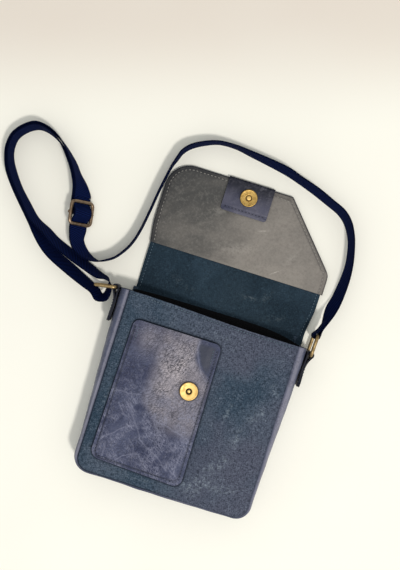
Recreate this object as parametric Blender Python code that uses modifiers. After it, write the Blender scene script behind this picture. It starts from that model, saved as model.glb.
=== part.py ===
# Messenger bag lying on its back with the flap laid open, in metres, +Z up.
# Origin: centre of the back panel on the surface it lies on. +X is the bag's right, +Y runs to the flap.
import math

import bmesh
import bpy
from mathutils import Matrix, Vector

MM = 0.001

# Body, in millimetres
panel_width = 176.0
back_height = 186.0
front_height = 181.0
bag_depth = 35.0
corner_radius = 17.0
side_bulge = 10.0
bottom_bulge = 5.0
gusset_fullness = 0.67
canvas_thickness = 1.5
leather_thickness = 1.6
lining_thickness = 0.8
seam_gap = 0.5
fit = 0.3
lining_ease = 0.6

# Slip pocket on the front panel
pocket_width = 92.0
pocket_height = 144.0
pocket_left_margin = 12.5
pocket_top_margin = 24.5
pocket_corner = 9.0
pocket_top_corner = 6.5
pocket_puff = 1.6
pocket_seam = 5.0

# Magnetic snap, one half on the pocket and one on the flap's tab
snap_right_margin = 18.9
snap_drop = 76.7
snap_radius = 9.0
snap_height = 2.0
snap_wall = 0.6
snap_edge = 0.5
snap_hole = 3.2
magnet_height = 1.0
washer_radius = 7.5
washer_thickness = 0.7
rivet_radius = 1.8
stud_radius = 2.4
stud_reach = 1.1

# Flap: a canvas strip over the mouth, then a leather panel with one corner cut away
flap_shift = 5.25
strip_width = 180.0
strip_length = 42.0
strip_thickness = 2.0
hinge_height = 1.3
canvas_edge_length = 5.6
flap_width = 187.5
flap_length = 92.4
flap_thickness = 1.8
flap_lift = 2.0
flap_round_corner = 26.0
flap_cut_width = 59.0
flap_cut_height = 66.0
flap_cut_round = 6.0
flap_root_inset = 3.0
flap_root_taper = 24.0
flap_taper_round = 20.0

# Leather tab folded over the flap's end
tab_width = 49.0
tab_past_snap = 0.6
tab_length = 34.0
tab_thickness = 1.5
tab_washer_room = 1.3
tab_inner_bend = 0.6
snap_from_hinge = 118.9

# Strap rings and the leather loops that hold them
ring_wire = 3.6
ring_reach = 20.0
ring_inside = 22.4
ring_corner = 2.9
ring_play = 0.4
loop_width = 20.0
loop_leg = 34.0
loop_wrap_past = 50.0
loop_closing = 2.2
left_ring_below_top = 1.5
right_ring_below_top = 7.9
left_ring_angle = 189.0
right_ring_angle = 88.0

# Webbing strap and its slider
strap_width = 20.0
strap_thickness = 1.2
sewn_tail = 18.0
sewn_turn = 17.0
sewn_closing = 2.4
slider_lead_in = 4.0
slider_lead_out = 3.0
slider_tail_start = 5.5
slider_x = -160.0
slider_y = 147.0
slider_z = 12.2
slider_heading = 99.5
slider_lean = 50.0
slider_wire = 3.2
slider_length = 26.0
slider_inside = 21.4
slider_corner = 4.0
bar_radius = 1.0
bar_head_radius = 1.6
bar_head_length = 1.0

# Strap routes: x, y, z of the webbing's middle and its lean in degrees from standing on edge,
# positive where its upper edge leans to the left of the direction of travel.
single_route = [
    (110.9, 128.8, 13, -25), (114, 143.9, 11, -23), (115.7, 163.4, 10.3, -17),
    (115.1, 180.1, 10.5, -11), (111.7, 197.3, 10.6, -8), (107.5, 208.8, 10.6, -9),
    (100.9, 219.7, 10.5, -11), (91.5, 227.7, 10.4, -13), (77.5, 233.6, 10.4, -13),
    (60.9, 240.2, 10.4, -14), (42.5, 246, 10.5, -12), (27, 250.7, 10.4, -14), (7.9, 253.9, 10.5, -11),
    (-12.9, 256.6, 10.6, -6), (-30.2, 258.6, 10.7, -1), (-47.4, 257.8, 10.7, 0),
    (-61.7, 252.7, 10.7, -2), (-73.7, 245.7, 10.7, -3), (-80.7, 237.9, 10.7, -3),
    (-83.8, 229.6, 10.7, -2), (-87.4, 217.8, 10.7, 1), (-91.6, 192.8, 10.7, 1),
    (-94.4, 170.3, 10.7, 1), (-97.9, 147.9, 10.7, 1), (-103.2, 130.8, 10.7, 1),
    (-112.8, 116.2, 10.7, 1), (-121.4, 109.6, 10.7, 0), (-131.1, 105.5, 10.7, 4),
    (-144.1, 108.2, 9.9, 22), (-155, 117, 9.2, 38),
]
loop_route = [
    (-170, 173.5, 11.4, 28), (-177, 183.5, 10.8, 13), (-185.1, 194.5, 10.6, 8),
    (-198.7, 208.3, 10.7, -1), (-211, 215.9, 10.7, -4), (-221.5, 219, 10.7, -5),
    (-231, 218.4, 10.7, -6), (-240.9, 211.7, 10.7, -4), (-247.9, 202, 10.7, -3),
    (-249.5, 190.3, 10.7, -4), (-247.2, 179.2, 10.6, -6), (-241.1, 166.9, 10.5, -11),
    (-230.3, 152.5, 10.5, -11), (-217.2, 138.6, 10.4, -14), (-204.9, 126.3, 10.2, -18),
]
outer_route = [
    (-190.4, 110, 9.8, -27), (-176.2, 99.5, 9.8, -30), (-153.5, 89.4, 10.8, -31), (-135.7, 82, 13, -26),
    (-123.8, 77.3, 15.6, -18), (-117, 72, 17.3, -3), (-111, 74, 17.5, 0), (-109.5, 80, 17.5, 0),
    (-109.7, 84, 17.5, 0),
]
inner_route = [
    (-109.8, 84.4, 17.5, 0), (-111, 88.5, 17.5, 0), (-115, 92, 17, 8), (-125.4, 93.2, 15, 19),
    (-147.7, 100.9, 12, 26), (-163.3, 106.4, 10.6, 25), (-178, 112.6, 10.1, 23), (-189.1, 119.4, 10.1, 20),
]
layer_gap = 3.9

# Heights and places worked out from the sizes above
bottom_edge = -back_height / 2
back_top = back_height / 2
front_top = bottom_edge + front_height
panel_half = panel_width / 2
mid_depth = bag_depth / 2
pocket_base = bag_depth + fit
pocket_face = pocket_base + pocket_puff + leather_thickness
pocket_left = -panel_half + pocket_left_margin
pocket_top = front_top - pocket_top_margin
snap_x = pocket_left + pocket_width - snap_right_margin
snap_y = front_top - snap_drop
tab_centre_x = snap_x - tab_past_snap
hinge_y = back_top + strip_thickness / 2 + fit
flap_mid = flap_lift + flap_thickness / 2
fold_y = hinge_y + math.sqrt(strip_length ** 2 - (flap_mid - hinge_height) ** 2)
leather_start = fold_y + canvas_edge_length + fit
flap_end = fold_y + flap_length
flap_face = flap_lift + flap_thickness
tab_inner_base = flap_face + tab_washer_room
tab_face = tab_inner_base + tab_thickness
flap_snap_y = hinge_y + snap_from_hinge
loop_radius = ring_wire / 2 + ring_play + leather_thickness / 2
ring_x = panel_half + seam_gap + side_bulge + fit + leather_thickness / 2 + loop_radius
left_ring_y = front_top - left_ring_below_top
right_ring_y = front_top - right_ring_below_top


def clear_scene():
    for old in list(bpy.data.objects):
        bpy.data.objects.remove(old, do_unlink=True)


def collection(name):
    group = bpy.data.collections.new(name)
    bpy.context.scene.collection.children.link(group)
    return group


def material(name, colour, roughness, metallic=0.0):
    made = bpy.data.materials.new(name)
    made.use_nodes = True
    shader = made.node_tree.nodes["Principled BSDF"]
    shader.inputs["Base Color"].default_value = (*colour, 1.0)
    shader.inputs["Roughness"].default_value = roughness
    shader.inputs["Metallic"].default_value = metallic
    return made


def place(name, mesh, finish=None, origin=(0.0, 0.0, 0.0), turn=None):
    # The mesh comes in millimetres about its own origin; origin puts it in the bag.
    mesh.transform(Matrix.Scale(MM, 4))
    made = bpy.data.objects.new(name, mesh)
    made.location = Vector(origin) * MM
    if turn is not None:
        made.rotation_euler = turn.to_euler()
    if finish is None:
        cutters.objects.link(made)
        made.hide_render = True
        made.display_type = "WIRE"
    else:
        bag.objects.link(made)
        mesh.materials.append(finish)
    return made


def cut(target, cutter):
    step = target.modifiers.new("Cut", "BOOLEAN")
    step.operation = "DIFFERENCE"
    step.object = cutter


def thicken(target, thickness, offset):
    step = target.modifiers.new("Thickness", "SOLIDIFY")
    step.thickness = thickness * MM
    step.offset = offset
    step.use_even_offset = True
    return target


def rounded(corners, steps=6):
    # Corners are x, y and a radius; a corner with a radius becomes an arc tangent to both sides.
    outline = []
    for index, (x, y, radius) in enumerate(corners):
        here = Vector((x, y))
        before = (Vector(corners[index - 1][:2]) - here).normalized()
        after = (Vector(corners[(index + 1) % len(corners)][:2]) - here).normalized()
        if radius == 0:
            outline.append(here)
            continue
        half = before.angle(after) / 2
        centre = here + (before + after).normalized() * radius / math.sin(half)
        first = here + before * radius / math.tan(half) - centre
        last = here + after * radius / math.tan(half) - centre
        sweep = first.angle_signed(last)
        for step in range(steps + 1):
            turn = Matrix.Rotation(-sweep * step / steps, 2)
            outline.append(centre + turn @ first)
    return outline


def curve_to_mesh(curve, name):
    holder = bpy.data.objects.new(name, curve)
    bag.objects.link(holder)
    evaluated = holder.evaluated_get(bpy.context.evaluated_depsgraph_get())
    mesh = bpy.data.meshes.new_from_object(evaluated)
    bpy.data.objects.remove(holder)
    bpy.data.curves.remove(curve)
    work = bmesh.new()
    work.from_mesh(mesh)
    bmesh.ops.remove_doubles(work, verts=work.verts, dist=0.0001)
    bmesh.ops.recalc_face_normals(work, faces=work.faces)
    work.to_mesh(mesh)
    work.free()
    return mesh


def plate(outline, low, high):
    # A flat outline filled and given thickness from low to high.
    curve = bpy.data.curves.new("outline", "CURVE")
    curve.dimensions = "2D"
    curve.fill_mode = "BOTH"
    curve.extrude = (high - low) / 2
    spline = curve.splines.new("POLY")
    spline.points.add(len(outline) - 1)
    for point, spot in zip(spline.points, outline):
        point.co = (spot.x, spot.y, 0.0, 1.0)
    spline.use_cyclic_u = True
    mesh = curve_to_mesh(curve, "outline")
    mesh.transform(Matrix.Translation((0.0, 0.0, (low + high) / 2)))
    return mesh


def wire_loop(outline, wire, depth_resolution=2):
    # A closed loop of round wire whose middle follows a flat outline.
    curve = bpy.data.curves.new("loop", "CURVE")
    curve.dimensions = "3D"
    curve.bevel_depth = wire / 2
    curve.bevel_resolution = depth_resolution
    spline = curve.splines.new("POLY")
    spline.points.add(len(outline) - 1)
    for point, spot in zip(spline.points, outline):
        point.co = (spot.x, spot.y, 0.0, 1.0)
    spline.use_cyclic_u = True
    return curve_to_mesh(curve, "loop")


def sheet(rows):
    # An open surface drawn out row by row from a first chain of edges.
    work = bmesh.new()
    chain = [work.verts.new(spot) for spot in rows[0]]
    edges = [work.edges.new(pair) for pair in zip(chain, chain[1:])]
    for row in rows[1:]:
        drawn = bmesh.ops.extrude_edge_only(work, edges=edges)["geom"]
        edges = [item for item in drawn if isinstance(item, bmesh.types.BMEdge) and not item.link_faces[1:]]
        edges = [edge for edge in edges if all(vert in drawn for vert in edge.verts)]
        fresh = [item for item in drawn if isinstance(item, bmesh.types.BMVert)]
        for old in chain:
            partner = next(v for v in fresh if any(e.other_vert(v) == old for e in v.link_edges))
            partner.co = row[chain.index(old)]
            chain[chain.index(old)] = partner
    mesh = bpy.data.meshes.new("sheet")
    work.to_mesh(mesh)
    work.free()
    return mesh


def turned(profile, closed):
    # A half section at +X that a Screw modifier turns about Z, its outer side running down.
    mesh = bpy.data.meshes.new("turned")
    links = [(i, i + 1) for i in range(len(profile) - 1)]
    if closed:
        links.append((len(profile) - 1, 0))
    mesh.from_pydata([(radius, 0.0, height) for radius, height in profile], links, [])
    return mesh


def spin(target, steps=24):
    step = target.modifiers.new("Turn", "SCREW")
    step.axis = "Z"
    step.steps = steps
    step.render_steps = steps
    step.use_merge_vertices = True
    step.merge_threshold = 0.00001
    step.use_smooth_shade = True
    return target


def rod(radius, length):
    work = bmesh.new()
    bmesh.ops.create_cone(
        work, cap_ends=True, segments=20, radius1=radius, radius2=radius, depth=length)
    mesh = bpy.data.meshes.new("rod")
    work.to_mesh(mesh)
    work.free()
    return mesh


def panel_outline(top):
    return rounded([
        (-panel_half, top, 0),
        (-panel_half, bottom_edge, corner_radius),
        (panel_half, bottom_edge, corner_radius),
        (panel_half, top, 0),
    ])


def panels():
    front = panel_outline(front_top)
    back = panel_outline(back_top)
    place("front_panel", plate(front, bag_depth - canvas_thickness, bag_depth), blue_canvas)
    place("back_panel", plate(back, 0.0, canvas_thickness), blue_canvas)
    inner = canvas_thickness + fit
    place("lining_front", plate(front, bag_depth - inner - lining_thickness, bag_depth - inner), black_cloth)
    place("lining_back", plate(back, inner, inner + lining_thickness), black_cloth)


def gusset_stations(side_steps=5, corner_steps=8):
    # Points down one side, round the bottom and up the other: a spot, its outward way and the swell there.
    half = []
    side_end = bottom_edge + corner_radius
    for step in range(side_steps + 1):
        y = front_top + (side_end - front_top) * step / side_steps
        half.append((Vector((panel_half, y)), Vector((1.0, 0.0)), side_bulge))
    for step in range(1, corner_steps + 1):
        turn = math.pi / 2 * step / corner_steps
        out = Vector((math.cos(turn), -math.sin(turn)))
        centre = Vector((panel_half - corner_radius, side_end))
        swell = bottom_bulge + (side_bulge - bottom_bulge) * math.cos(turn) ** 2
        half.append((centre + out * corner_radius, out, swell))
    other = [(Vector((-s.x, s.y)), Vector((-o.x, o.y)), b) for s, o, b in reversed(half)]
    return half + other


def gusset_sheet(inset, arc_steps=14):
    # Each station carries a full, rounded arc from the front edge to the back edge, set in by inset.
    rows = []
    for spot, out, swell in gusset_stations():
        row = []
        for step in range(arc_steps + 1):
            turn = math.pi * step / arc_steps
            away = seam_gap + (swell - inset) * abs(math.sin(turn)) ** gusset_fullness
            height = mid_depth + (mid_depth - inset) * math.cos(turn)
            point = spot + out * away
            row.append((point.x, point.y, height))
        rows.append(row)
    return sheet(rows)


def gussets():
    outer = place("gusset", gusset_sheet(0.0), blue_leather)
    thicken(outer, leather_thickness, -1.0)
    inner = place("lining_gusset", gusset_sheet(leather_thickness + lining_ease), black_cloth)
    thicken(inner, lining_thickness, -1.0)


def pocket():
    right = pocket_left + pocket_width
    low = pocket_top - pocket_height
    body = plate(rounded([
        (pocket_left, pocket_top, pocket_top_corner),
        (pocket_left, low, pocket_corner),
        (right, low, pocket_corner),
        (right, pocket_top, pocket_top_corner),
    ]), pocket_base, pocket_face)
    made = place("front_pocket", body, blue_leather)
    past = pocket_top + pocket_seam
    hollow = plate(rounded([
        (pocket_left + pocket_seam, past, 0),
        (pocket_left + pocket_seam, low + pocket_seam, pocket_corner - pocket_seam),
        (right - pocket_seam, low + pocket_seam, pocket_corner - pocket_seam),
        (right - pocket_seam, past, 0),
    ]), pocket_base - pocket_puff, pocket_base + pocket_puff)
    cut(made, place("pocket_hollow_cutter", hollow))
    hole = rod(rivet_radius + fit, leather_thickness * 4)
    cut(made, place("pocket_hole_cutter", hole, origin=(snap_x, snap_y, pocket_face)))


def cap_section():
    # Open-backed disc: outer wall, face and the wall round the middle hole.
    return [
        (snap_radius - snap_edge, snap_height), (snap_radius, snap_height - snap_edge), (snap_radius, 0.0),
        (snap_radius - snap_wall, 0.0), (snap_radius - snap_wall, snap_height - snap_wall),
        (snap_hole + snap_wall, snap_height - snap_wall), (snap_hole + snap_wall, 0.0),
        (snap_hole, 0.0), (snap_hole, snap_height),
    ]


def pocket_snap():
    base = (snap_x, snap_y, pocket_face + fit)
    spin(place("pocket_snap_cap", turned(cap_section(), True), antique_brass, base))
    inside = snap_hole + snap_wall + fit
    outside = snap_radius - snap_wall - fit
    ring = [(outside, magnet_height), (outside, 0.0), (inside, 0.0), (inside, magnet_height)]
    spin(place("pocket_snap_magnet", turned(ring, True), dark_steel, base))
    seat = pocket_face - leather_thickness - fit
    top = pocket_face + fit + snap_height / 3 - seat
    washer = [
        (0.0, top), (rivet_radius, top), (rivet_radius, 0.0), (washer_radius, 0.0),
        (washer_radius, -washer_thickness), (0.0, -washer_thickness),
    ]
    spin(place("pocket_snap_washer", turned(washer, False), dark_steel, (snap_x, snap_y, seat)))


def strip_side(length, thickness, steps=8):
    # Side view of a strip that starts at its own axis with a round edge.
    half = thickness / 2
    side = []
    for step in range(steps + 1):
        turn = math.pi / 2 + math.pi * step / steps
        side.append(Vector((half * math.cos(turn), half * math.sin(turn))))
    return side + [Vector((length, -half)), Vector((length, half))]


def across(mesh, centre_x, tilt=0.0):
    # Turns a side view drawn in XY, with thickness along Z, to run across the bag along X.
    lay = Matrix(((0, 0, 1, centre_x), (1, 0, 0, 0), (0, 1, 0, 0), (0, 0, 0, 1)))
    mesh.transform(Matrix.Rotation(tilt, 4, "X") @ lay)
    return mesh


def flap_strip():
    half = strip_width / 2
    slope = math.asin((flap_mid - hinge_height) / strip_length)
    reach = strip_length - strip_thickness / 2 - fit
    strip = across(plate(strip_side(reach, strip_thickness), -half, half), flap_shift, slope)
    place("flap_strip", strip, navy_canvas, (0.0, hinge_y, hinge_height))
    edge = across(plate(strip_side(canvas_edge_length, strip_thickness), -half, half), flap_shift)
    place("flap_canvas_edge", edge, navy_canvas, (0.0, fold_y, flap_mid))


def flap_leather():
    left = flap_shift - flap_width / 2
    right = flap_shift + flap_width / 2
    outline = rounded([
        (left, flap_end, flap_round_corner),
        (left, leather_start + flap_root_taper, flap_taper_round),
        (left + flap_root_inset, leather_start, 0),
        (right - flap_root_inset / 2, leather_start, 0),
        (right, flap_end - flap_cut_height, flap_cut_round),
        (right - flap_cut_width, flap_end, flap_cut_round),
    ])
    mesh = plate(outline, -flap_thickness / 2, flap_thickness / 2)
    mesh.transform(Matrix.Translation((0.0, -fold_y, 0.0)))
    place("flap_leather", mesh, blue_leather, (0.0, fold_y, flap_mid))


def flap_tab():
    # Folded leather: one leg under the flap, one on its inside with room for the snap's washer.
    near = flap_end - tab_length
    far = flap_end + fit + tab_thickness
    under = flap_lift - fit
    low = under - tab_thickness
    bend = tab_thickness + tab_inner_bend
    side = rounded([
        (near, low, 0), (far, low, bend), (far, tab_face, bend), (near, tab_face, 0),
        (near, tab_inner_base, 0), (far - tab_thickness, tab_inner_base, tab_inner_bend),
        (far - tab_thickness, under, tab_inner_bend), (near, under, 0),
    ])
    mesh = across(plate(side, -tab_width / 2, tab_width / 2), tab_centre_x)
    mesh.transform(Matrix.Translation((0.0, -fold_y, -flap_mid)))
    made = place("flap_tab", mesh, blue_leather, (0.0, fold_y, flap_mid))
    hole = rod(stud_radius + fit, tab_thickness * 2)
    cut(made, place("tab_hole_cutter", hole, origin=(snap_x, flap_snap_y, tab_face - tab_thickness / 2)))


def flap_snap():
    seat = tab_face + fit
    spin(place("flap_snap_cap", turned(cap_section(), True), antique_brass, (snap_x, flap_snap_y, seat)))
    foot = flap_face + fit
    top = seat + snap_height + stud_reach - foot
    stud = [
        (0.0, top), (stud_radius - snap_edge, top), (stud_radius, top - snap_edge),
        (stud_radius, 0.0), (0.0, 0.0),
    ]
    spin(place("flap_snap_stud", turned(stud, False), antique_brass, (snap_x, flap_snap_y, foot)))
    bore = stud_radius + fit
    ring = [(washer_radius, washer_thickness), (washer_radius, 0.0), (bore, 0.0), (bore, washer_thickness)]
    spin(place("flap_snap_washer", turned(ring, True), dark_steel, (snap_x, flap_snap_y, foot)))


def ring_tab(name, side, ring_y):
    # A leather strap that runs up the gusset, round the ring's bar and down over itself.
    inner = ring_x - loop_radius
    outer = inner + leather_thickness + fit
    path = [(inner, ring_y - loop_leg)]
    first, last = math.pi, -math.radians(loop_wrap_past)
    for step in range(13):
        turn = first + (last - first) * step / 12
        path.append((ring_x + loop_radius * math.cos(turn), ring_y + loop_radius * math.sin(turn)))
    path += [(outer, ring_y - loop_radius * loop_closing), (outer, ring_y - loop_leg)]
    low = mid_depth - loop_width / 2
    high = mid_depth + loop_width / 2
    rows = [[(side * x, y, z) for x, y in path] for z in (low, high)]
    thicken(place(name, sheet(rows), blue_leather), leather_thickness, 0.0)


def ring(name, side, ring_y, angle):
    half = (ring_inside + ring_wire) / 2
    outline = rounded([
        (0.0, -half, ring_corner), (ring_reach, -half, ring_corner),
        (ring_reach, half, ring_corner), (0.0, half, ring_corner),
    ], 4)
    mesh = wire_loop(outline, ring_wire)
    mesh.transform(Matrix.Rotation(math.pi / 2, 4, "X"))
    turn = Matrix.Rotation(math.radians(angle), 3, "Z")
    place(name, mesh, antique_brass, (side * ring_x, ring_y, mid_depth), turn)


def slider_frame_axes():
    # Along the webbing, across it towards its raised edge, and out of its upper face.
    heading = math.radians(slider_heading)
    lean = math.radians(slider_lean)
    along = Vector((math.cos(heading), math.sin(heading), 0.0))
    left = Vector((-along.y, along.x, 0.0))
    side = left * math.sin(lean) + Vector((0.0, 0.0, math.cos(lean)))
    return along, side, along.cross(side)


def slider():
    turn = Matrix(slider_frame_axes()).transposed()
    centre = (slider_x, slider_y, slider_z)
    half_across = (slider_inside + slider_wire) / 2
    half_along = (slider_length - slider_wire) / 2
    outline = rounded([
        (-half_along, -half_across, slider_corner), (half_along, -half_across, slider_corner),
        (half_along, half_across, slider_corner), (-half_along, half_across, slider_corner),
    ], 4)
    frame = place("slider_frame", wire_loop(outline, slider_wire), antique_brass, centre, turn)
    across_frame = Matrix.Rotation(-math.pi / 2, 4, "X")
    hole = rod(bar_radius + fit, half_across * 4)
    hole.transform(across_frame)
    cut(frame, place("slider_hole_cutter", hole, None, centre, turn))
    tip = half_across + slider_wire / 2 + fit
    head = tip + bar_head_length
    section = [
        (0.0, head), (bar_head_radius, head), (bar_head_radius, tip), (bar_radius, tip),
        (bar_radius, -tip), (0.0, -tip),
    ]
    spin(place("slider_bar", turned(section, False), antique_brass, centre, turn @ across_frame.to_3x3()))


def guides(points):
    # Turns a route's x, y, z and lean into places and the way the webbing's width points there.
    made = []
    for index, (x, y, z, lean) in enumerate(points):
        ahead = points[min(index + 1, len(points) - 1)]
        behind = points[max(index - 1, 0)]
        way = Vector((ahead[0] - behind[0], ahead[1] - behind[1], 0.0)).normalized()
        left = Vector((-way.y, way.x, 0.0))
        tip = math.radians(lean)
        made.append((Vector((x, y, z)), left * math.sin(tip) + Vector((0.0, 0.0, math.cos(tip)))))
    return made


def between(quad, t):
    # A smooth step from the second of four values to the third.
    a, b, c, d = quad
    square = 2 * a - 5 * b + 4 * c - d
    cube = 3 * b - a - 3 * c + d
    return (2 * b + (c - a) * t + square * t * t + cube * t ** 3) / 2


def smooth_path(spots, spacing):
    # A smooth curve through a route's points, read off at about even steps.
    spots = [spots[0]] + spots + [spots[-1]]
    path = []
    for index in range(1, len(spots) - 2):
        near = spots[index - 1:index + 3]
        steps = max(1, round((near[2][0] - near[1][0]).length / spacing))
        for step in range(steps):
            t = step / steps
            path.append(tuple(between(quad, t) for quad in zip(*near)))
    path.append(spots[-2])
    return path


def web(name, spots, spacing=6.0):
    # A flat ribbon of webbing along a route of places and width directions.
    rows = []
    for middle, side in smooth_path(spots, spacing):
        reach = side.normalized() * strap_width / 2
        rows.append([middle - reach, middle + reach])
    thicken(place(name, sheet(rows), navy_webbing), strap_thickness, 0.0)


def shifted(points, offset):
    # The same route moved sideways in plan, positive to the left of the direction of travel.
    moved = []
    for index, (x, y, z, lean) in enumerate(points):
        ahead = points[min(index + 1, len(points) - 1)]
        behind = points[max(index - 1, 0)]
        way = Vector((ahead[0] - behind[0], ahead[1] - behind[1])).normalized()
        moved.append((x - way.y * offset, y + way.x * offset, z, lean))
    return moved


def sewn_loop(centre_x, centre_y, centre_z, heading, clear):
    # A webbing end that runs in along the strap, round an upright bar and out again beside itself.
    along = Vector((math.cos(heading), math.sin(heading), 0.0))
    left = Vector((-along.y, along.x, 0.0))
    side = (strap_thickness + fit) / 2
    local = [
        (sewn_tail, side), (sewn_tail * 0.6, side),
        (clear * sewn_closing, side * 1.3), (clear * 0.9, clear * 0.8),
    ]
    for degrees in range(60, 301, 30):
        turn = math.radians(degrees)
        local.append((clear * math.cos(turn), clear * math.sin(turn)))
    local += [(clear * 0.9, -clear * 0.8), (clear * sewn_closing, -side * 1.3), (sewn_tail * 0.6, -side)]
    upright = Vector((0.0, 0.0, 1.0))
    return [(Vector((centre_x, centre_y, centre_z)) + along * u + left * v, upright) for u, v in local]


def slider_pass(steps):
    # Webbing lying in the slider: each step is a place along it and a height above its face.
    along, side, out = slider_frame_axes()
    centre = Vector((slider_x, slider_y, slider_z))
    return [(centre + along * u + out * n, side) for u, n in steps]


def strap():
    clear = ring_wire / 2 + ring_play + strap_thickness / 2
    heading = math.radians(right_ring_angle)
    bar_x = ring_x + ring_reach * math.cos(heading)
    bar_y = right_ring_y + ring_reach * math.sin(heading)
    sewn = sewn_loop(bar_x, bar_y, mid_depth, heading - math.radians(sewn_turn), clear)
    end = slider_length / 2
    under = slider_wire / 2 + ring_play + strap_thickness / 2
    wrap = bar_radius + ring_play + strap_thickness / 2
    over = wrap + strap_thickness + ring_play
    into = slider_pass([
        (-end - slider_lead_in, -under), (-end + slider_wire / 2, -under), (-end * 0.65, -under * 0.8),
        (-over * 1.25, over * 0.45), (-over * 0.55, over), (over * 0.55, over), (over * 1.25, over * 0.45),
        (end * 0.65, -under * 0.8), (end - slider_wire / 2, -under), (end + slider_lead_out, -under)])
    web("strap_single", sewn + guides(single_route) + into)
    start = slider_pass([(end + slider_lead_out + fit, -under), (end + slider_tail_start, -under)])
    half_gap = layer_gap / 2
    web("strap_outer", start + guides(shifted(loop_route, -half_gap) + outer_route))
    low = -under - layer_gap
    tail = slider_pass([
        (end + slider_tail_start, low), (end - slider_wire / 2, low),
        (wrap * sewn_closing, low * 0.7), (wrap * 0.7, -wrap), (-wrap * 0.5, -wrap * 0.87),
        (-wrap, 0.0), (-wrap * 0.5, wrap * 0.87), (wrap * 0.7, wrap)])
    back = guides(shifted(loop_route, half_gap))[::-1]
    web("strap_inner", guides(inner_route) + back + tail)


clear_scene()
bag = collection("messenger_bag")
cutters = collection("cutters")

blue_canvas = material("blue waxed canvas", (0.055, 0.078, 0.12), 0.6)
navy_canvas = material("navy waxed canvas", (0.013, 0.033, 0.055), 0.65)
blue_leather = material("blue leather", (0.1, 0.115, 0.18), 0.4)
black_cloth = material("black lining cloth", (0.008, 0.008, 0.01), 0.9)
antique_brass = material("antique brass", (0.5, 0.33, 0.12), 0.32, 1.0)
dark_steel = material("plain steel", (0.35, 0.35, 0.36), 0.4, 1.0)
navy_webbing = material("navy webbing", (0.004, 0.008, 0.035), 0.7)

panels()
gussets()
pocket()
pocket_snap()
flap_strip()
flap_leather()
flap_tab()
flap_snap()
ring_tab("left_ring_tab", -1, left_ring_y)
ring_tab("right_ring_tab", 1, right_ring_y)
ring("left_ring", -1, left_ring_y, left_ring_angle)
ring("right_ring", 1, right_ring_y, right_ring_angle)
slider()
strap()
print("flap hinge y", round(hinge_y, 3), "flap fold y", round(fold_y, 3), "rings at x", round(ring_x, 3))
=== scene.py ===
import math
import random

import bmesh
import bpy
from mathutils import Matrix, Vector, noise


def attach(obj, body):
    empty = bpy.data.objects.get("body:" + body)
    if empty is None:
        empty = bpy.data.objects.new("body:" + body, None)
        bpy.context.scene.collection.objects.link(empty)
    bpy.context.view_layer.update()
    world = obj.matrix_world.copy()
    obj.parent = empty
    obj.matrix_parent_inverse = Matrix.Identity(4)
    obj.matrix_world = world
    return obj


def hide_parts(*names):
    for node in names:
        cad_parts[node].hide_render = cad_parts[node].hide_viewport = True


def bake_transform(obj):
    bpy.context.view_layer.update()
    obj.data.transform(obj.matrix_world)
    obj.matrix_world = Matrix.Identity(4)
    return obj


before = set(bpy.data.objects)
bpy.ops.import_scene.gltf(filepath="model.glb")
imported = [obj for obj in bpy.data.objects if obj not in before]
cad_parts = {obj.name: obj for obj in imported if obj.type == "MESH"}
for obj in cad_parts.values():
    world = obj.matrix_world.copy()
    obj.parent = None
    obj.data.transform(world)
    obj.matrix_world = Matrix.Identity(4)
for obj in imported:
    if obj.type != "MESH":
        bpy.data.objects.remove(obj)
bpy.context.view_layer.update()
scene = bpy.context.scene
mm = 0.001  # sizes below are in millimetres
weld = 0.00002  # metres within which points are joined
sharp = math.radians(50)  # edges turned further than this are edges, not curves
random.seed(7)


def ease(low, high, value):  # smooth step from 0 to 1
    t = min(1.0, max(0.0, (value - low) / (high - low)))
    return t * t * (3 - 2 * t)


def mix(first, last, share):
    return first + (last - first) * share


def bump(away, width):  # 1 in the middle, falling off to both sides
    return math.exp(-(away / width) ** 2)


def lumps(x, y, size, seed=0.0):  # gentle unevenness, about -1 to 1
    return noise.noise(Vector((x / size, y / size, seed)))


def ink(red, green, blue):  # a colour as a picture shows it, made linear
    made = []
    for part in (red, green, blue):
        share = part / 255
        made.append(share / 12.92 if share <= 0.04045 else ((share + 0.055) / 1.055) ** 2.4)
    return (*made, 1.0)


class Value:  # a node's output, ready for sums
    def __init__(self, finish, socket):
        self.finish = finish
        self.socket = socket

    def math(self, operation, first, second):
        return self.finish.node("ShaderNodeMath", {"operation": operation}, {0: first, 1: second})

    def __add__(self, other):
        return self.math("ADD", self, other)

    def __radd__(self, other):
        return self.math("ADD", other, self)

    def __sub__(self, other):
        return self.math("SUBTRACT", self, other)

    def __rsub__(self, other):
        return self.math("SUBTRACT", other, self)

    def __mul__(self, other):
        return self.math("MULTIPLY", self, other)

    def __rmul__(self, other):
        return self.math("MULTIPLY", other, self)


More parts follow.
